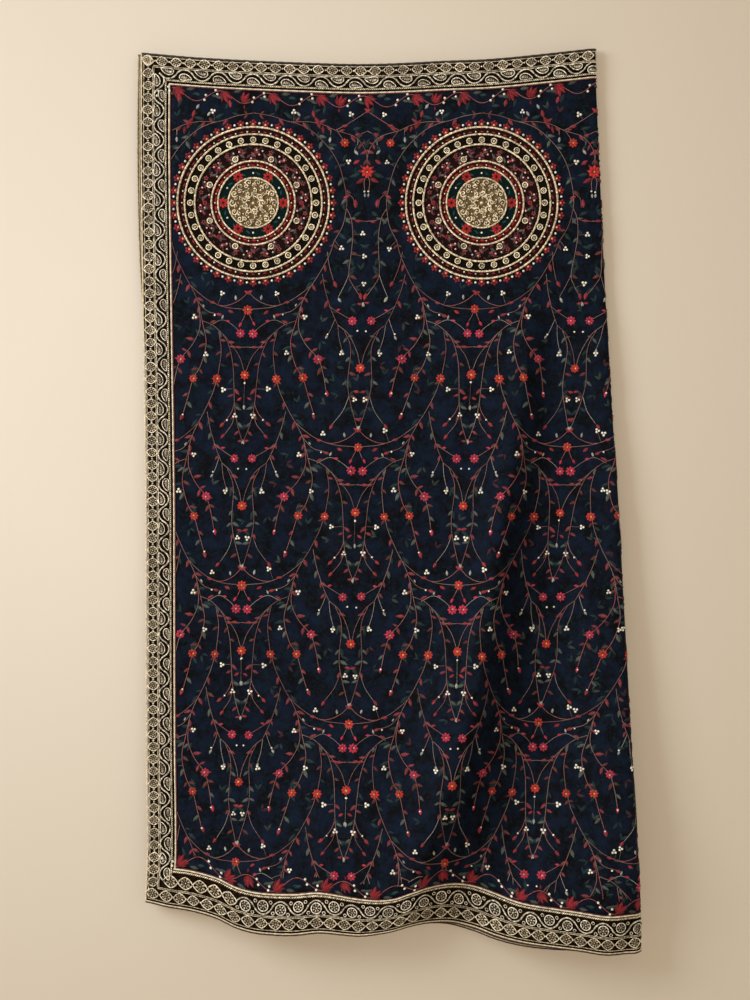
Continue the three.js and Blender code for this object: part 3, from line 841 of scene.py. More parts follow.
# ---------------------------------------------------------------- cords
def cord_piece(name, edge, inwards, start, end, radius, colour, material, slot, node, beside=None):
    """A cord along an edge; `beside` is a thinner dark one along it, painted shade beside the cord: how far
    in, its radius and colour.
    """
    pile = Pile()
    for inwards, radius, colour in [(inwards, radius, colour)] + ([beside] if beside else []):
        path = row_at(spread(start, end, 3.0), inwards)
        swell = 1 + 0.12 * np.sin(path[:, 0] * TAU / 4.1)
        pile.cord(path, radius * swell, colour, CHARTS[edge], lift=-0.3, sides=6 if radius > 0.8 else 4)
    obj = pile.build(name, material, slot)
    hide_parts(node)
    return obj


def hidden_edging():
    """Three dull cords down what shows of the hidden leaves at the left."""
    pile = Pile()
    drop = spread(-2.0, 1050.0, 8.0)
    free_end = left_at(-drop) - hidden_past_at(-drop)
    for inset, thick in ((0.9, 1.1), (3.2, 0.9), (5.4, 0.9)):
        path = np.stack([free_end + inset, -drop], -1)
        pile.cord(path, thick, (0.46, 0.37, 0.24), lift=FIELD_FACE - CORE_FACE, sides=4)
    pile.build("hidden_edging", GOLD_CORD, "gold_cord")


def make_cords():
    side_pipe = SIDE_BORDER + SEAM + PIPING / 2
    hem_pipe = HEM_BORDER + SEAM + PIPING / 2
    edge = EDGE_CORD / 2
    top_left = float(left_at(0.0))
    hem_left = float(left_at(-1060.0))
    turned_top = float(turn_start(0.0) + np.pi * turn_at(0.0))
    turned_hem = float(turn_start(HEM_LEVEL) + np.pi * turn_at(HEM_LEVEL))
    rolled_top = float(roll_run(0.0) + 1.5)
    rolled_hem = float(roll_run(HEM_LEVEL) + 1.5)
    top_drop = -float(top_of(top_left + side_pipe)) + side_pipe
    hem_drop = -float(hem_of(hem_left + side_pipe)) - hem_pipe
    edge_drop = -float(top_of(top_left)) + edge
    edge_hem_drop = -float(hem_of(hem_left)) - edge
    gold = dict(colour=PALE_GOLD, material=GOLD_CORD, slot="gold_cord")
    dark = dict(colour=(0.035, 0.024, 0.016), material=GOLD_CORD, slot="dark_edge")
    bright = dict(gold, colour=(0.84, 0.74, 0.53))
    # painted shade: a dark red thread beside each piping
    painted_shade_red = (0.120, 0.015, 0.013)
    cord_piece("piping_down_left", "left", side_pipe, top_drop, hem_drop, 0.95, node="piping_left",
               beside=(side_pipe + 1.6, 0.75, painted_shade_red), **bright)
    cord_piece("edging_down_left", "left", edge, edge_drop, edge_hem_drop, 0.95,
               node="edge_cord_left", **gold)
    hidden_edging()
    spans = {"front": (top_left, hem_left, turned_top, turned_hem),
             "back": (turned_top, turned_hem, rolled_top, rolled_hem)}
    for side, (top_a, hem_a, top_b, hem_b) in spans.items():
        inset = side_pipe if side == "front" else 0.0
        near = edge if side == "front" else 0.0
        cord_piece(f"piping_along_top_{side}", "top", side_pipe, top_a + inset, top_b, 0.95,
                   node=f"piping_top_{side}", beside=(side_pipe + 1.6, 0.75, painted_shade_red), **bright)
        cord_piece(f"piping_along_hem_{side}", "hem", hem_pipe, hem_a + inset, hem_b, 1.05,
                   node=f"piping_hem_{side}", beside=(hem_pipe + 1.7, 0.75, painted_shade_red), **bright)
        cord_piece(f"edging_along_top_{side}", "top", edge, top_a + near, top_b, 1.2,
                   node=f"edge_cord_top_{side}", **dark)
        # at the hem a dark thread along the very edge: painted shadow under the gold edge cord
        cord_piece(f"edging_along_hem_{side}", "hem", edge + 1.2, hem_a + near, hem_b, 0.9,
                   node=f"edge_cord_hem_{side}", beside=(edge - 0.4, 0.95, (0.030, 0.010, 0.009)), **gold)


# ---------------------------------------------------------------- the climbing pattern, one side of one spray
# Sideways from the pattern's line and down from the garland's flower. Each is mirrored to the other side.
SPRAY = dict(
    branches=dict(
        trunk=[(104, -88), (98, -68), (86, -44), (77, -29), (68, -11), (61, 14)],
        arm=[(77, -30), (68, -22), (52, -11), (30, -3), (0, 0)],
        rising=[(52, -11), (37, -5), (24, -6), (11, -12), (2, -20)],
        outer=[(61, 14), (55, 42), (62, 70), (72, 86), (79, 108), (86, 129)],
        far=[(66, -4), (64, 22), (74, 44), (90, 62), (97, 82), (101, 102)],
        inner=[(61, 14), (44, 21), (27, 38), (18, 64), (15, 92), (13, 121), (8, 145), (1, 165)],
        heart=[(40, 24), (27, 36), (9, 58), (1, 78)],
        next_trunk=[(38, 27), (34, 52), (38, 86)],
        pink_twig=[(50, 20), (34, 13), (20, 19), (8, 29)],
        hanging=[(1, 2), (4, 9), (7, 15)],
        bar=[(22, 46), (11, 47.5), (0, 47)],
        low_bud=[(13, 118), (18, 130), (27, 141)],
        low_bud_2=[(12, 127), (16, 143), (26, 156)],
        lower=[(52, 128), (47, 150), (38, 175), (30, 192)],
        lower_heart=[(30, 192), (16, 204), (5, 226), (1, 243)],
        lower_long=[(22, 198), (13, 222), (15, 262), (12, 285), (2, 320)],
        lower_twig=[(42, 168), (30, 176), (13, 186)],
        grey_twig=[(30, 192), (28, 208), (24, 222)],
        grey_twig_2=[(34, 185), (38, 196), (42, 205)],
        tail=[(13, 282), (20, 300), (32, 316)],
        bud_arm=[(70, -14), (56, 1), (40, 6)],
        drop=[(0, 86), (0, 104), (0, 122)],
    ),
    orange=[(72, 86), (38.5, 87), (0, 82), (0, 246)],
    pink=[(90, 62), (7.5, 30), (12, 187)],
    red_buds=[(86, 129, 70, 1.1), (42, 6, 165, 0.95), (27, 141, 45, 1), (26, 156, 50, 0.9), (26, 1, 150, 0.9),
              (52, -9, 175, 0.9), (6, 47, 0, 0.9), (14, 47, 0, 0.8), (32, 316, 55, 0.95), (8, 275, 170, 0.9),
              (3, -19, -150, 1.0), (3, 110, 30, 0.8), (8, 165, 180, 0.8)],
    pink_buds=[(101, 102, 80, 1.05), (7, 15, 60, 0.85), (29, 14, 175, 0.8), (33, 174, 190, 0.8)],
    grey_buds=[(1, 163, 110, 0.9), (24, 222, 100, 1), (42, 205, 60, 0.9), (2, 318, 110, 1),
               (34, 12, 250, 0.8), (61, -7, 120, 0.7), (0, 120, 90, 0.9), (16, -12, -80, 0.9)],
    bead=[(87, 131), (44.5, 6.5), (24, 138), (101.3, 105), (42.4, 204), (5.5, 200), (0, 92)],
    clusters=[(12, 133), (29, 100), (50, 54), (72, 9), (35, -20), (24, 228), (6.5, 286), (87, 228),
              (99, 156)],
)
# what is left of a spray where it has a crown: these branches, and the motifs farther down than the low part
UNDER_CROWN = ("lower", "lower_heart", "lower_long", "lower_twig", "grey_twig", "grey_twig_2", "tail")
LOW_PART = 160
# the topmost spray, whose stems run round the medallions to either side of it
CROWN = dict(
    branches=dict(
        collar=[(142.5, -74), (120, -70), (97, -63), (74, -63), (55, -59), (40, -52), (18, -45), (7, -35),
                (1, -23), (0, -8)],
        shoulder=[(97, -63), (84, -59), (68, -50), (49, -31), (36, -10), (29, 12.5), (25, 33), (25, 46)],
        leg=[(25, 46), (19, 58), (16, 79), (17, 100), (19, 129), (13.5, 142), (4, 156)],
        next_trunk=[(25, 46), (29, 67), (38.5, 86)],
        rising=[(40, -52), (28, -58), (13.5, -67), (3, -74)],
        flower_stalk=[(38, -51), (33, -44), (28, -37)],
        pale_drop=[(46, -55), (46, -46)],
        pale_drop_2=[(12.5, -42), (12, -35), (16, -28)],
        bar=[(19, 58), (12, 61), (0, 62)],
        small_bar=[(8, -47), (0, -51)],
        hanging=[(1, 6), (3.5, 12), (2.5, 24)],
        drop_twig=[(25, 27), (17, 33), (14.5, 45)],
        grey_twig=[(19, 129), (24, 142), (31, 157)],
        bud_twig=[(47, 100), (44, 117), (37.5, 137)],
    ),
    orange=[(28, -36)],
    pink=[],
    red_buds=[(114, -81, -100, 1.1), (50, -86, -110, 1.1), (3, -74, -150, 1.1), (66, -68, -80, 1.1),
              (37.5, 137, 120, 1.1), (5, 62, 0, 0.9), (8, -48, 20, 0.8), (24, -58, 10, 1.0),
              (9, -15, 30, 1.1), (4, 151, 100, 1.1), (14, 34, 95, 1.2), (22, 30, 20, 1.0)],
    pink_buds=[],
    grey_buds=[(71, -79, -60, 1.1), (46, -44, 90, 1.1), (16, -28, 130, 1.1), (31, 157, 120, 1.1),
               (2.5, 27, 95, 0.8), (84, -70, -60, 1)],
    bead=[(2.5, 25)],
    clusters=[(92, -76), (21, -72), (24, -12.5), (4, 78), (0, 106), (0, 140), (30, 96)],
    big_leaves=[(58, -56, -55, 1.8), (56, -58, 100, 1.2), (3, 8, 28, 1.5), (2, 0, -8, 1.1),
                (3, -3, -45, 0.9)],
    teal=[(8, 2, 15, 1.6), (6, 50, 30, 1.4), (4, 96, 200, 1.3), (10, 118, 40, 1.4), (12, -36, 80, 1.2),
          (26, -22, 60, 1.2)],
)
# the stems in brighter and in paler thread
BRIGHT = ("outer", "far", "bar", "hanging", "low_bud", "rising", "leg")
PALE = ("drop", "grey_twig", "grey_twig_2", "pink_twig", "tail", "pale_drop", "pale_drop_2")
# the stems without leaves
BARE = (*PALE, "arm", "hanging", "bar", "bud_arm", "heart", "low_bud", "low_bud_2", "lower_twig",
        "lower_heart", "rising", "flower_stalk", "small_bar", "drop_twig", "bud_twig")
LEAF_EVERY = 14.5
# how far the sprays keep off: in from the top edge and from the hem, and from the middle of a medallion
GUARD_DEEP = 54.0
GUARD_DEEP_HEM = 66.0
MEDALLION_CLEAR = 104


def spline(points, step, closed=False):
    """A smooth path through a few points in short even steps."""
    p = np.asarray(points, float)
    if closed:
        p = np.concatenate([p[-1:], p, p[:2]])
    else:
        p = np.concatenate([2 * p[:1] - p[1:2], p, 2 * p[-1:] - p[-2:-1]])
    out = []
    for i in range(1, len(p) - 2):
        t = np.linspace(0, 1, max(2, int(np.linalg.norm(p[i + 1] - p[i]) / step)), endpoint=False)[:, None]
        out.append(0.5 * (2 * p[i] + (p[i + 1] - p[i - 1]) * t
                          + (2 * p[i - 1] - 5 * p[i] + 4 * p[i + 1] - p[i + 2]) * t**2
                          + (3 * p[i] - 3 * p[i + 1] + p[i + 2] - p[i - 1]) * t**3))
    if not closed:
        out.append(p[-2:-1])
    return np.concatenate(out)


def open_field(run, z, margin):
    """Where the field is free of borders, guard bands and medallions."""
    x = fold_x(run, z)
    free = (run - left_at(z) > SIDE_TRIM + margin) & (run < roll_run(z) - 2)
    free &= top_of(x) - z > GUARD_DEEP + margin
    free &= z - hem_of(x) > GUARD_DEEP_HEM * band_of(x) + margin
    for centre in MEDALLION_CENTRES:
        free &= np.hypot(x - centre, z - MEDALLION_HEIGHT) > MEDALLION_CLEAR + margin
    return free


def spray_place(spot, points):
    """Points of a spray's table as run and height; `spot` is its line, its garland's height and its side."""
    line, garland, side = spot
    points = np.asarray(points, float)
    z = garland - points[:, 1]
    return pattern_run(line + side * points[:, 0] / STEP, z), z


class Work:
    """All the stitching of one side of the hanging, a pile for each sort of thread."""

    SORTS = dict(stem_thread=STEM_THREAD, red_thread=SILK_THREAD, pink_thread=SILK_THREAD,
                 green_thread=SILK_THREAD, pearl_bead=BEADS, zari=METAL_THREAD, silver_zari=METAL_THREAD,
                 gold_cord=METAL_THREAD)

    def __init__(self, side):
        self.side = side
        self.piles = {sort: Pile() for sort in self.SORTS}
        self.bunches = []  # where its bunches of three beads are

    def __getitem__(self, sort):
        return self.piles[sort]

    def build(self):
        for sort, pile in self.piles.items():
            if pile.count:
                pile.build(f"{sort}_{self.side}", self.SORTS[sort], sort)


def vary(rng, colour, amount, n):
    """A thread colour, a little lighter or darker from motif to motif."""
    return np.asarray(colour) * (1 + amount * rng.uniform(-1, 1, (n, 1)))


def put(pile, template, spot, table, colour, rng, lift=0.2, grow=1.0):
    """Copies of a template at rows of (sideways, down, heading, size)."""
    if not len(table):
        return
    rows = np.asarray([tuple(row) + (90, 1)[len(row) - 2:] if len(row) < 4 else row for row in table], float)
    run, z = spray_place(spot, rows[:, :2])
    keep = open_field(run, z, 4)
    if not keep.any():
        return
    heading = np.radians(rows[:, 2])
    angle = np.arctan2(-np.sin(heading), spot[2] * np.cos(heading)) + rng.uniform(-0.12, 0.12, len(rows))
    size = rows[:, 3] * grow * rng.uniform(0.92, 1.08, len(rows))
    at = np.stack([run, z], -1) + rng.uniform(-0.7, 0.7, (len(rows), 2))
    colours = vary(rng, colour, 0.16, len(rows))
    pile.motifs(template, at[keep], angle[keep], size[keep], colours[keep], lift=lift)


def stem(pile, run, z, colour, radius, rng):
    """A stem along a path, only where the field is free."""
    keep = open_field(run, z, 0)
    shade = np.cumsum(rng.normal(0, 0.5, len(run)))
    shade = 0.5 + 0.5 * np.sin(shade * 0.35 + rng.uniform(0, 6))
    tint = np.asarray(colour[0]) * (1 - shade[:, None]) + np.asarray(colour[1]) * shade[:, None]
    start = None
    for i in range(len(run) + 1):
        inside = i < len(run) and keep[i]
        if inside and start is None:
            start = i
        if not inside and start is not None:
            if i - start > 1:
                path = np.stack([run[start:i], z[start:i]], -1)
                pile.cord(path, radius, tint[start:i, None, :], sides=4, lift=-0.1)
            start = None


def spray(work, spot, rng, step, design, only=None):
    """One side of a spray or a crown, or `only` some branches of it and what hangs low on them."""
    paths = {name: spline(points, step) for name, points in design["branches"].items()
             if only is None or name in only}
    for name, path in paths.items():
        run, z = spray_place(spot, path)
        colour = COPPER, RUST_STEM
        if name in BRIGHT:
            colour = BRIGHT_STEM, COPPER
        elif name in PALE:
            colour = PALE_STEM, COPPER
        stem(work["stem_thread"], run, z, colour, 0.47 if name in PALE else 0.6, rng)
    leaves_along(work, spot, paths, rng)

    def rows(key):
        return [row for row in design.get(key, ()) if only is None or row[1] > LOW_PART]

    for key, sort, template, colour, grow in (
            ("orange", "red_thread", FLOWER, ORANGE, 1.08), ("pink", "pink_thread", FLOWER, CRIMSON, 1.12),
            ("red_buds", "red_thread", BUD, SCARLET, 1.08), ("pink_buds", "pink_thread", BUD, CRIMSON, 1.0),
            ("grey_buds", "green_thread", BUD, PALE_TIP, 0.85),
            ("big_leaves", "red_thread", LEAF, DEEP_RED, 0.8),
            ("teal", "green_thread", LEAF, DEEP_TEAL, 0.85)):
        put(work[sort], template, spot, rows(key), colour, rng, grow=grow)
    beads = work["pearl_bead"]
    put(beads, FLOWER_EYE, spot, rows("orange"), YELLOW, rng, 0.4)
    put(beads, FLOWER_EYE, spot, rows("pink"), PINK_EYE, rng, 0.4)
    put(beads, BEAD, spot, rows("bead"), CREAM, rng, 0.5, 1.35)
    clusters(work, spot, paths, rows("clusters"), rng)


def leaves_along(work, spot, paths, rng):
    """Leaves to the right and left of each stem by turns."""
    rows = {"red": [], "rust": [], "sage": [], "teal": []}
    for number, (name, path) in enumerate(paths.items()):
        if name in BARE:
            continue
        chooser = np.random.default_rng(11 + number)
        gone = np.concatenate([[0], np.cumsum(np.linalg.norm(np.diff(path, axis=0), axis=1))])
        ahead = np.gradient(path, axis=0)
        reach, k = 5 + chooser.uniform(0, 6), number
        while reach < gone[-1] - 7:
            i = int(np.searchsorted(gone, reach))
            heading = math.degrees(math.atan2(ahead[i, 1], ahead[i, 0]))
            lean = (48 + chooser.uniform(-20, 22)) * (1 if k % 2 else -1)
            kind = chooser.choice(["red", "rust", "sage", "teal"], p=[0.40, 0.24, 0.24, 0.12])
            size = chooser.uniform(0.78, 1.12)
            rows[kind].append((*path[i], heading + lean, size))
            if chooser.uniform() < 0.25:
                rows[kind].append((*path[i], heading - lean * 1.1, size * 0.8))
            if chooser.uniform() < 0.45:
                apart = path[i] + chooser.uniform(-7, 7, 2)
                rows["teal"].append((*apart, heading + chooser.uniform(0, 180), 1.3))
            reach += LEAF_EVERY * chooser.uniform(0.6, 1.35)
            k += 1
    colours = dict(red=LEAF_RED, rust=RUST, sage=SAGE, teal=DEEP_TEAL)
    for kind, table in rows.items():
        pile = work["green_thread"] if kind in ("sage", "teal") else work["red_thread"]
        put(pile, LEAF, spot, table, colours[kind], rng, 0.0 if kind == "teal" else 0.2)


def clusters(work, spot, paths, table, rng):
    """Three beads on a short stalk from the nearest stem."""
    if not table:
        return
    turned = [(x, y, 90 + 25 * (i % 3 - 1), 0.88) for i, (x, y) in enumerate(table)]
    kept = []
    for row in turned:
        run, z = spray_place(spot, [row[:2]])
        if all(math.hypot(run[0] - a, z[0] - b) > 10 for a, b in work.bunches):
            work.bunches.append((run[0], z[0]))
            kept.append(row)
    put(work["pearl_bead"], THREE_BEADS, spot, kept, CREAM, rng, 0.1)
    stems = np.concatenate(list(paths.values()))
    for x, y, *_ in kept:
        away = np.hypot(stems[:, 0] - x, stems[:, 1] - y)
        near = stems[np.argmin(away)]
        if 3 < away.min() < 24:
            run, z = spray_place(spot, [near, (x, y)])
            if open_field(run, z, 2).all():
                path = np.stack([run, z], -1)
                path = path[0] + (path[1] - path[0]) * np.linspace(0, 0.9, 4)[:, None]
                work["stem_thread"].cord(path, 0.38, COPPER, sides=3, lift=-0.1)


def make_pattern(front, back):
    """Sprays on every line, half a repeat lower on every second one, with crowns at the top of the first."""
    rng = np.random.default_rng(2)
    for line in range(10):
        work, step = (front, 3.4) if line < 4.5 else (back, 5.2)
        even = line % 2 == 0
        for row in range(3):
            garland = FIRST_GARLAND - REPEAT * row - (0 if even else REPEAT / 2)
            crowned = even and row == 0
            for side in (-1, 1):
                if line == 0 and side < 0 or line == 9 and side > 0:
                    continue
                spot = line, garland, side
                if crowned:
                    spray(work, spot, rng, step, CROWN)
                spray(work, spot, rng, step, SPRAY, UNDER_CROWN if crowned else None)
            spot = line, garland, 1
            colour, grow = (GARLAND_RED, 1.55) if crowned else (ORANGE, 1.15)
            put(work["red_thread"], FLOWER, spot, [(0, 0)], colour, rng, grow=grow)
            put(work["pearl_bead"], FLOWER_EYE, spot, [(0, 0)], YELLOW, rng, 0.4)


def fill_gaps(work, low, high, many, rng):
    """Small dark leaves and sprigs wherever the pattern leaves the ground bare."""
    spots = np.concatenate([np.concatenate(work[sort].places) for sort in ("stem_thread", "pearl_bead")
                            if work[sort].count])[:, :2]
    cell = 7.0  # each one has to be the only thing in its cell and in those round it
    taken = {(int(a), int(b)) for a, b in np.floor(spots / cell)}
    found = []
    for a, b in rng.uniform((low, -1060), (high, -60), (many * 12, 2)):
        near = (int(a // cell), int(b // cell))
        if any((near[0] + i, near[1] + j) in taken for i in (-1, 0, 1) for j in (-1, 0, 1)):
            continue
        taken.add(near)
        found.append((a, b))
        if len(found) == many:
            break
    at = np.array(found)
    at = at[open_field(at[:, 0], at[:, 1], 5)]
    heading = rng.uniform(0, TAU, len(at))
    kinds = rng.choice(3, len(at), p=[0.5, 0.27, 0.23])
    for kind, (sort, colour) in enumerate((("green_thread", DEEP_TEAL),
                                           ("green_thread", (0.022, 0.030, 0.027)), ("red_thread", WINE))):
        these = kinds == kind
        shades = vary(rng, colour, 0.3, these.sum())
        work[sort].motifs(LEAF, at[these], heading[these], 1.05, shades, lift=0.05)
        work[sort].motifs(LEAF, at[these] + 1.0, heading[these] + 1.1, 0.8, shades, lift=0.05)


# ---------------------------------------------------------------- borders
# rows of the border: how far in from the edge each lies on the top, the left side and the hem
BORDER_ROWS = dict(
    binding=(3.9, 4.3, 6.0),
    rosettes=(8.9, 9.7, 13.6),
    parting=(16.0, 16.2, 21.6),
    vine=(23.6, 23.6, 32.4),
    chain=(31.6, 31.6, 44.8),
)
EDGE_NUMBER = dict(top=0, left=1, hem=2)
FAN_PETALS = join(*[(leaf(15.5, 5.6, 1.0, steps=4), (0, 0, 0.25), math.radians(a), s)
                    for a, s in ((-13, 0.92), (14, 1.0))])
FAN_SIDES = join(*[(leaf(14.0, 4.6, 0.8, steps=4), (0, 0, 0), math.radians(a), s)
                   for a, s in ((-48, 0.66), (-29, 0.95), (33, 0.9), (52, 0.62))])


def looped(points, radius, tall, sides=4, closed=True):
    """A template of a thread laid along a closed path."""
    a, b, rise, faces, stitch = cord_form(points, radius, tall, sides, closed)
    return np.stack([a.ravel(), b.ravel(), rise.ravel()], -1), faces, stitch.ravel()


def round_path(radius, steps, scallops=0, deep=0.0):
    turn = TAU * np.arange(steps) / steps
    reach = radius * (1 + deep * np.abs(np.cos(turn * scallops / 2))) if scallops else radius + 0 * turn
    return np.stack([reach * np.cos(turn), reach * np.sin(turn)], -1)


def lozenge_path(long, wide, steps):
    """A rounded lozenge."""
    turn = TAU * np.arange(steps) / steps
    c, s = np.cos(turn), np.sin(turn)
    reach = (np.abs(c / long) ** 1.35 + np.abs(s / wide) ** 1.35) ** (-1 / 1.35)
    return np.stack([reach * c, reach * s], -1)


STITCH = leaf(1.0, 0.5, 0.30, steps=2, sink=0.1)
ROSETTE = join(
    (looped(lozenge_path(7.0, 5.6, 16), 0.74, 0.85), (0, 0, 0), 0, 1),
    (dome(1.3, 1.0, 5, 1), (0, 0, 0), 0, 1),
    *[(STITCH, (1.4 * math.cos(turn), 1.4 * math.sin(turn), 0.1), turn, 3.5 + 1.0 * abs(math.cos(turn)))
      for turn in TAU * (np.arange(8) + 0.5) / 8],
)
LINK = dome(1.7, 0.9, 5, 1)
# a paisley, in the pocket of each wave: an outline over close slanting stitches
PAISLEY = join(
    (looped(spline([(-9.0, -3.0), (-6.0, 0.9), (-1.8, 3.4), (3.2, 3.7), (7.0, 0.8), (6.2, -3.2), (1.4, -4.3),
                    (-4.0, -3.6)], 2.6, closed=True), 0.72, 0.9), (0, 0, 0), 0, 1),
    *[(STITCH, (x, -3.2, 0.1), 1.2, long)
      for x, long in ((-5.6, 3.0), (-3.4, 4.9), (-1.1, 6.0), (1.3, 6.2), (3.8, 4.6))],
    (dome(1.5, 1.1, 6, 1), (3.6, -0.4, 0.3), 0, 1),
)
# the hem's roundels, each with a curl on either side
ROUNDEL = join(
    (looped(round_path(5.9, 14), 0.80, 0.85), (0, 0, 0), 0, 1),
    *[(STITCH, (1.5 * math.cos(turn), 1.5 * math.sin(turn), 0.1), turn, 3.9)
      for turn in TAU * np.arange(7) / 7],
    (dome(1.5, 1.3, 5, 1), (0, 0, 0), 0, 1),
    (looped(round_path(1.8, 6), 0.55, 0.7), (8.9, -4.6, 0), 0, 1),
    (looped(round_path(1.8, 6), 0.55, 0.7), (-8.9, -4.6, 0), 0, 1),
)
# what fills each edge's waves: the motif, how far it lies from the wave's middle and its size
POCKETS = dict(top=(PAISLEY, 2.6, 1.0), left=(PAISLEY, 2.6, 0.94), hem=(ROUNDEL, 1.8, 1.02))
PLAIN_START = 92  # the hem's inner row starts with larger rosettes over this length
ROSETTE_STEP = dict(top=18.0, left=15.4, hem=17.0)
LARGE_ROSETTE_STEP = 18.6
WAVE_LENGTH = dict(top=43, left=38, hem=43)
WAVE_SWING = dict(top=6.3, left=6.3, hem=6.3 * 1.25)


def even_step(start, end, about):
    """The step nearest to `about` that divides a stretch evenly."""
    return (end - start) / round((end - start) / about)


def border_span(edge, is_front, inwards):
    """From where to where a row at this distance runs along an edge."""
    if edge == "left":
        x = left_at(SIDE_LEVEL) + inwards
        return float(-(top_of(x) - inwards)), float(-(hem_of(x) + float(hem_depth(inwards)) * band_of(x)))
    level = 0.0 if edge == "top" else HEM_LEVEL
    start, end = run_ends(is_front, level, 0.0)
    inset = float(side_at_mitre(edge, inwards)) if is_front else 0.0
    return float(start + inset), float(end)


def border_row(pile, edge, is_front, row, rng):
    inwards = BORDER_ROWS[row][EDGE_NUMBER[edge]]
    start, end = border_span(edge, is_front, inwards)
    chart = CHARTS[edge]
    on_hem = edge == "hem"

    def lay(template, at, turn, size, colour, amount):
        colours = vary(rng, colour, amount, len(at))
        # the border's motifs take the metal thread's painted shade and highlight
        pile.motifs(template, at, turn, size, colours, chart, FIELD_FACE, METAL_PAINTED_SHADING)

    if row == "rosettes":
        at = row_at(np.arange(start, end - 3, even_step(start, end, ROSETTE_STEP[edge])), inwards)
        at = at + rng.uniform(-0.25, 0.25, (len(at), 2))
        turn = rng.uniform(-0.15, 0.15, len(at)) + (math.pi / 2 if edge == "left" else 0)
        lay(ROSETTE, at, turn, rng.uniform(0.95, 1.06, len(at)) * (1.08 if on_hem else 1.0), ZARI, 0.18)
        lay(LINK, at[:-1] + (at[1:] - at[:-1]) / 2, 0, 1.0, CREAM, 0.15)
    elif row == "vine":
        period = even_step(start, end, WAVE_LENGTH[edge])
        if on_hem and is_front:
            large = np.arange(start + 9, start + PLAIN_START, LARGE_ROSETTE_STEP)
            lay(ROSETTE, row_at(large, inwards), 0.0, 1.32, ZARI, 0.18)
            start += PLAIN_START
        along = spread(start, end, 2.3)
        wave = np.sin(TAU * (along - start) / period)
        wave = WAVE_SWING[edge] * np.sign(wave) * np.abs(wave) ** 0.75
        path = np.stack([along, inwards + wave], -1)
        colours = vary(rng, SILVER_ZARI, 0.3, len(path))[:, None, :]
        pile.cord(path, 1.08 + 0.22 * np.sin(along * TAU / 7.0), colours, chart, FIELD_FACE, sides=4)
        halves = np.arange(start + period / 4, end, period / 2)
        up = np.where(np.arange(len(halves)) % 2 == 0, 1.0, -1.0)
        motif, away, size = POCKETS[edge]
        at = np.stack([halves, inwards - up * away], -1)
        turned = np.where(up > 0, 0.0, math.pi) + rng.uniform(-0.1, 0.1, len(at))
        lay(motif, at, turned, size * rng.uniform(0.94, 1.06, len(at)), SILVER_ZARI, 0.2)
    elif row == "chain":
        lay(STITCH, row_at(spread(start, end, 2.5), inwards - 1.2), 0.72, 4.4 if on_hem else 4.0, ZARI, 0.22)
    else:
        path = row_at(spread(start, end, 3.5), inwards)
        colours = vary(rng, ZARI, 0.22, len(path))[:, None, :]
        for gap in (-0.85, 0.85) if row == "parting" else (0.0,):
            pile.cord(path + (0, gap), 0.58, colours, chart, FIELD_FACE, sides=4)


def make_borders(front, back):
    rng = np.random.default_rng(5)
    for row in BORDER_ROWS:
        slot = "silver_zari" if row in ("vine", "parting") else "zari"
        for edge in ("left", "top", "hem"):
            border_row(front[slot], edge, True, row, rng)
            if edge != "left":
                border_row(back[slot], edge, False, row, rng)


# the guard bands' waving stem: how far in from the edge it runs and how far it swings to either side
GUARDS = dict(top=(47.6, 7.2), hem=(60.0, 8.0))
GUARD_WAVE = 59
FAN_RED = (0.225, 0.012, 0.018)


def make_guards(front, back):
    """The bands of waving stem and red fans inside the top and hem borders."""
    rng = np.random.default_rng(8)
    for edge, (centre, swing) in GUARDS.items():
        for work, is_front in ((front, True), (back, False)):
            start, end = border_span(edge, is_front, 0.0)
            if is_front:
                start += SIDE_TRIM + 2
            chart = CHARTS[edge]
            period = even_step(start, end, GUARD_WAVE)
            along = spread(start, end, 3.0)
            wave = -swing * np.cos(TAU * (along - start) / period)
            path = np.stack([along, centre + wave], -1)
            tint = vary(rng, BRIGHT_STEM, 0.25, len(path))[:, None, :]
            work["stem_thread"].cord(path, 0.62, tint, chart, -0.1, sides=4)
            crests = np.arange(start + 2, end - 8, period)
            troughs = np.arange(start + 1.5 * period, end - 8, 2 * period)

            def beside(sort, template, line, ahead, deeper, heading, size, colour, lift=0.15):
                """One motif at each place along the stem, a little ahead of it and deeper in the field."""
                n = len(line)
                at = row_at(line + ahead, centre + deeper) + rng.uniform(-0.7, 0.7, (n, 2))
                turned = heading + rng.uniform(-0.15, 0.15, n)
                work[sort].motifs(template, at, turned, size, vary(rng, colour, 0.15, n), chart, lift)

            for line, ahead, deeper, heading, size in ((crests, 1.0, -swing, 0.95, 1.12),
                                                       (troughs, -1.5, swing - 1.5, -1.15, 1.0)):
                beside("red_thread", FAN_SIDES, line, ahead, deeper, heading, size, DEEP_RED)
                beside("red_thread", FAN_PETALS, line, ahead, deeper, heading, size, FAN_RED)
            beside("red_thread", BUD, troughs, 0.0, swing + 1.5, 1.5, 0.7, DEEP_RED)
            beside("green_thread", LEAF, crests, -9.0, -1.5, 0.42, 1.05, GUARD_SAGE)
            beside("green_thread", LEAF, crests, -13.0, -1.0, 0.2, 0.9, GUARD_SAGE)
            beside("green_thread", LEAF, crests, 15.0, -6.5, -0.15, 1.1, GUARD_SAGE)
            beside("green_thread", BUD, troughs - period, -3.5, -3.0, 0.1, 1.15, TEAL)
            beside("green_thread", BUD, troughs - period, 4.5, -3.0, math.pi - 0.1, 1.1, DEEP_TEAL)
            beside("green_thread", LEAF, crests, 11.0, 5.0, 1.9, 1.2, DEEP_TEAL)
            for ahead, deeper in ((-period * 0.32, -1.2), (-period * 0.36, 5.2), (-period * 0.12, -7.6),
                                  (-period * 0.09, -2.4)):
                beside("pearl_bead", BEAD, crests, ahead, deeper, 0.0, 1.85, CREAM)


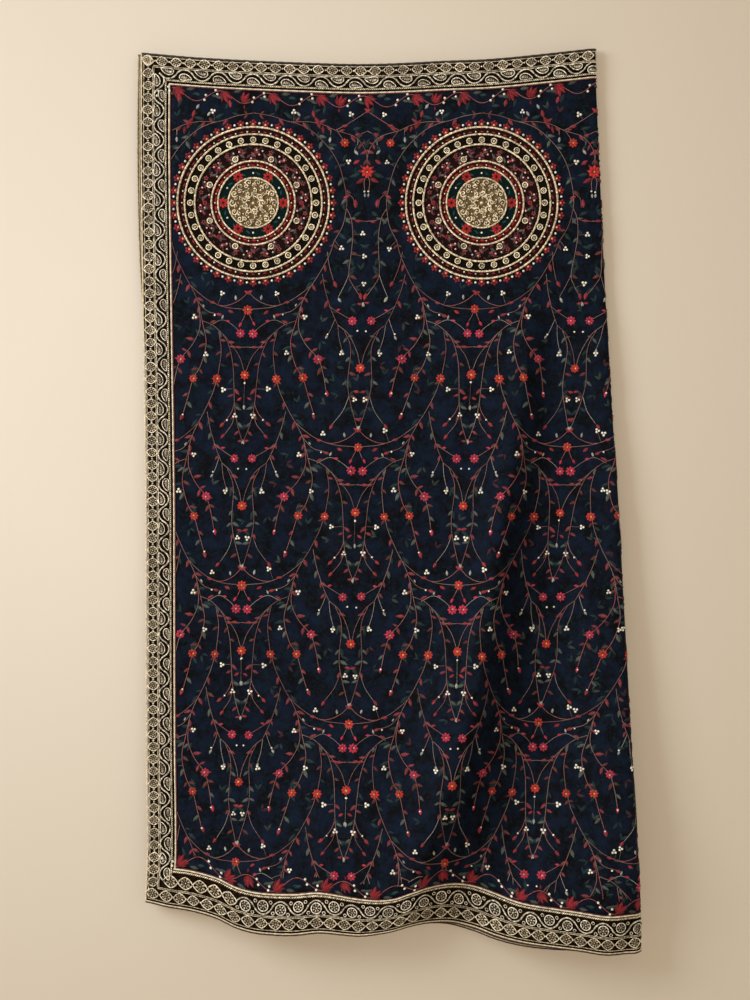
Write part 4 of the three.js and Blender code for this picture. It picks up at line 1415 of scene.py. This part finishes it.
# ---------------------------------------------------------------- medallions
COIN = join(
    (looped(round_path(3.75, 14), 1.05, 0.9), (0, 0, 0), 0, 1),
    (looped(round_path(1.3, 8), 0.62, 0.7), (0, 0, 0), 0, 1),
)
SCROLL = looped(spline([(0, 0), (3.2, 1.6), (6.4, 0.2), (6.8, -3.6), (3.6, -5.2), (1.4, -3.2), (3.0, -1.6),
                        (4.4, -2.8)], 1.5), 0.85, 1.3, closed=False)
SMALL_FLOWER = petals(5, 0.5, 3.6, 3.0, 0.7)
# rings of braided cord: radius, half width
RINGS = ((95.0, 1.8), (86.0, 1.7), (73.4, 1.7), (52.4, 1.65), (44.2, 1.55), (31.2, 1.6))


def around(n, radius, phase=0.0):
    turn = TAU * (np.arange(n) + phase) / n
    return np.stack([radius * np.cos(turn), radius * np.sin(turn)], -1), turn


def seed_colours(n):
    """Mostly cream beads with an orange one now and then."""
    return np.where(np.arange(n)[:, None] % 3 == 1, (0.62, 0.26, 0.12), CREAM)


def medallion_work(work, centre_run, rng):
    def chart(a, b):
        return centre_run + a, MEDALLION_HEIGHT + b

    def ring_of(sort, template, n, radius, size, colour, phase=0.0, turned=0.0, lift=0.75):
        at, turn = around(n, radius, phase)
        work[sort].motifs(template, at, turn + turned, size, vary(rng, colour, 0.15, n), chart, lift)

    for radius, wide in RINGS:
        steps = int(TAU * radius / 2.0)
        swell = wide * (0.88 + 0.14 * np.sin(np.arange(steps) * TAU * 0.31))
        colours = vary(rng, PALE_GOLD, 0.25, steps)[:, None, :]
        work["gold_cord"].cord(round_path(radius, steps), swell, colours, chart, 0.6, sides=4, closed=True,
                               height=swell * 0.75)
        seeds = int(TAU * radius / 4.2)
        ring_of("pearl_bead", TINY_BEAD, seeds, radius - 0.3, 0.75, seed_colours(seeds), lift=1.9)
    ring_of("red_thread", SMALL_FLOWER, 40, 100.2, 1.35, (0.24, 0.013, 0.018), lift=0.1)
    ring_of("pearl_bead", BEAD, 40, 98.8, 1.7, (0.74, 0.32, 0.18), lift=0.5)
    ring_of("pearl_bead", BEAD, 40, 100.0, 1.7, CREAM, 0.5, lift=0.1)
    ring_of("zari", SMALL_BEAD, 38, 89.3, 1.35, CREAM)
    ring_of("red_thread", LEAF, 38, 89.3, 0.55, SCARLET, 0.3, math.pi / 2)
    ring_of("zari", COIN, 32, 78.9, 0.88, CREAM_GOLD)
    ring_of("red_thread", SMALL_FLOWER, 22, 66.5, 0.9, (0.22, 0.045, 0.040), 0.3)
    ring_of("red_thread", SMALL_FLOWER, 16, 56.5, 0.6, (0.10, 0.012, 0.03), 0.1)
    ring_of("red_thread", LEAF, 30, 68.6, 0.5, (0.10, 0.012, 0.03), 0.6, 1.2)
    ring_of("red_thread", FLOWER, 8, 60.5, 0.62, SCARLET)
    ring_of("green_thread", LEAF, 26, 57.2, 0.85, SAGE, 0.25, 0.8)
    ring_of("green_thread", LEAF, 24, 64.5, 0.8, DEEP_TEAL, 0.75, -0.9)
    ring_of("red_thread", LEAF, 24, 64.5, 0.75, (0.20, 0.040, 0.036), 0.5, 1.9)
    ring_of("stem_thread", LEAF, 16, 61.0, 0.8, (0.07, 0.03, 0.03), 0.1, 2.2)
    ring_of("pink_thread", SMALL_FLOWER, 20, 62.0, 0.55, (0.15, 0.018, 0.045), 0.7)
    ring_of("red_thread", LEAF, 26, 55.0, 0.55, (0.13, 0.014, 0.020), 0.2, 1.5)
    for radius, phase in ((66.0, 0.1), (66.5, 0.35), (61.0, 0.22), (56.0, 0.6)):
        ring_of("pearl_bead", SMALL_BEAD, 14, radius, 1.5, (0.74, 0.44, 0.42), phase)
    ring_of("zari", COIN, 8, 58.8, 0.86, CREAM_GOLD, 0.5)
    ring_of("pearl_bead", SMALL_BEAD, 26, 47.8, 1.1, CREAM)
    ring_of("red_thread", LEAF, 26, 47.0, 0.66, (0.32, 0.018, 0.016), 0.3, math.pi / 2)
    ring_of("red_thread", FLOWER, 6, 37.6, 1.3, (0.34, 0.014, 0.013))
    ring_of("pearl_bead", SMALL_BEAD, 6, 37.4, 1.5, CREAM, 0.5)
    ring_of("green_thread", LEAF, 12, 35.6, 0.7, TEAL, 0.5, 1.2)
    core = work["gold_cord"]
    for n, radius, size, turned, phase in (
            (14, 21.6, 1.0, 0.6, 0.0), (9, 13.0, 1.0, 2.6, 0.5), (5, 5.0, 0.9, 0.3, 0),
            (14, 26.0, 0.7, 3.6, 0.4), (9, 17.6, 0.6, 4.4, 0.2), (6, 8.8, 0.7, 1.3, 0.3)):
        at, turn = around(n, radius, phase)
        core.motifs(SCROLL, at, turn + turned, size, vary(rng, PALE_GOLD, 0.3, n), chart, 0.9)
    for n, radius, size in ((24, 27.6, 1.25), (15, 18.6, 1.4), (9, 9.4, 1.3), (1, 0.0, 2.6)):
        at, _ = around(n, radius, 0.5)
        core.motifs(SMALL_BEAD, at, 0, size, vary(rng, PALE_GOLD, 0.3, n), chart, 0.9)


# the bands of a medallion's ground: the radius that each one reaches to and its shade there
BAND_GOLD = (0.15, 0.100, 0.045)
BAND_TEAL = (0.003, 0.011, 0.011)
BAND_RED = (0.055, 0.005, 0.005)
BAND_BLACK = (0.0060, 0.0040, 0.0022)
BAND_BROWN = (0.020, 0.005, 0.004)
MEDALLION_BANDS = (
    (6.0, BAND_GOLD), (18.0, BAND_GOLD), (30.6, BAND_GOLD), (31.4, BAND_TEAL), (43.4, BAND_TEAL),
    (44.2, BAND_RED), (51.4, BAND_RED), (52.2, (0.0120, 0.0045, 0.0035)), (62.0, (0.0130, 0.0045, 0.0040)),
    (72.5, (0.0090, 0.0045, 0.0030)), (73.3, BAND_BLACK), (84.4, BAND_BLACK), (85.2, BAND_BROWN),
    (93.0, BAND_BROWN), (96.0, (0.010, 0.004, 0.005)),
)


def medallion_ground(name, centre, behind, node):
    """The round patch that carries the rings, in bands of dark silk."""
    around_it = 96
    radius = np.array([band[0] for band in MEDALLION_BANDS])
    turn = TAU * np.arange(around_it) / around_it
    x = np.concatenate([[centre], (centre + radius[:, None] * np.cos(turn)).ravel()])
    z = np.concatenate([[MEDALLION_HEIGHT], (MEDALLION_HEIGHT + radius[:, None] * np.sin(turn)).ravel()])
    run = run_of_back(x, z) if behind else x
    top = place(run, z, 0.75)
    low = place(run, z, 0.1)
    n = len(x)
    k = np.arange(around_it)
    after = (k + 1) % around_it
    tris = np.stack([np.zeros_like(k), 1 + k, 1 + after], -1)
    quads = []
    for i in range(len(radius) - 1):
        a, b = 1 + i * around_it, 1 + (i + 1) * around_it
        quads.append(np.stack([a + k, b + k, b + after, a + after], -1))
    quads = np.concatenate(quads)
    last = 1 + (len(radius) - 1) * around_it
    rim = np.stack([last + k, n + last + k, n + last + after, last + after], -1)
    if behind:
        tris, quads, rim = tris[:, ::-1], quads[:, ::-1], rim[:, ::-1]
    colours = np.concatenate([[MEDALLION_BANDS[0][1]]] + [[band[1]] * around_it for band in MEDALLION_BANDS])
    faces = [tris, tris[:, ::-1] + n, quads, quads[:, ::-1] + n, rim]
    obj = new_mesh(name, np.concatenate([top, low]), faces, np.tile(colours, (2, 1)), np.zeros(2 * n))
    finish_piece(obj, MATT_SILK, "zari", node)


# ---------------------------------------------------------------- stage, light, camera
def add_light(name, place_at, target, size, power, colour):
    light = bpy.data.lights.new(name, "AREA")
    light.shape = "RECTANGLE"
    light.size, light.size_y = size
    light.energy = power
    light.color = colour
    obj = bpy.data.objects.new(name, light)
    bpy.context.scene.collection.objects.link(obj)
    obj.location = place_at
    obj.rotation_euler = (Vector(target) - Vector(place_at)).to_track_quat("-Z", "Y").to_euler()


# metres: how far off the camera is, how much height it takes in at the cloth, and what it looks at
CAMERA_AWAY = 3.2
FRAME_TALL = 1.25
CAMERA_CENTRE = (0.00875, -0.5556)
SENSOR = 36


def plane(name, corners):
    return new_mesh(name, corners, [[(0, 1, 2, 3)]], smooth_shaded=False)


def make_stage():
    wall = plane("wall", [(-4, 0.001, -2.4), (4, 0.001, -2.4), (4, 0.001, 2.4), (-4, 0.001, 2.4)])
    wall.data.materials.append(wall_material())
    floor = plane("floor", [(-4, -5, -2.4), (4, -5, -2.4), (4, 3, -2.4), (-4, 3, -2.4)])
    pale = Shader("pale_floor")
    mottled = pale.ramp(pale.noise(3, 3), (0.3, (0.62, 0.56, 0.48)), (0.7, (0.66, 0.60, 0.52)))
    floor.data.materials.append(pale.surface(mottled, 0.85))
    world = bpy.data.worlds.new("soft_room")
    bpy.context.scene.world = world
    world.use_nodes = True
    room = world.node_tree.nodes["Background"].inputs
    room["Color"].default_value = (1.0, 0.90, 0.775, 1)
    room["Strength"].default_value = 0.58
    add_light("window", (-2.35, -1.7, 0.55), (-0.05, 0, -0.5), (1.4, 1.6), 74, (0.96, 0.985, 1.02))
    add_light("fill", (1.5, -3.0, -0.2), (0, 0, -0.6), (2.0, 2.0), 5, (1.0, 0.93, 0.84))
    add_light("back_fill", (-1.2, 2.6, 0.6), (0, 0, -0.55), (1.8, 1.8), 40, (1.0, 0.96, 0.9))
    camera = bpy.data.cameras.new("camera")
    camera.sensor_fit = "VERTICAL"
    camera.sensor_height = SENSOR
    camera.lens = SENSOR * CAMERA_AWAY / FRAME_TALL
    eye = bpy.data.objects.new("camera", camera)
    eye.location = (CAMERA_CENTRE[0], -0.02 - CAMERA_AWAY, CAMERA_CENTRE[1])
    eye.rotation_euler = (math.pi / 2, 0, 0)
    bpy.context.scene.collection.objects.link(eye)
    bpy.context.scene.camera = eye
    bpy.context.scene.view_settings.view_transform = "Standard"


make_stage()
make_cloth()
make_cords()
front, back = Work("front"), Work("back")
make_pattern(front, back)
filler_rng = np.random.default_rng(31)
fill_gaps(front, -245, 340, 520, filler_rng)
fill_gaps(back, 340, 960, 520, filler_rng)
make_guards(front, back)
make_borders(front, back)
medallion_rng = np.random.default_rng(21)
for side, work in (("front", front), ("back", back)):
    behind = side == "back"
    for where, centre in zip(("left", "right"), MEDALLION_CENTRES):
        medallion_ground(f"roundel_{side}_{where}", centre, behind, f"medallion_{side}_{where}")
        middle_run = float(run_of_back(centre, MEDALLION_HEIGHT)) if behind else centre
        medallion_work(work, middle_run, medallion_rng)
front.build()
back.build()
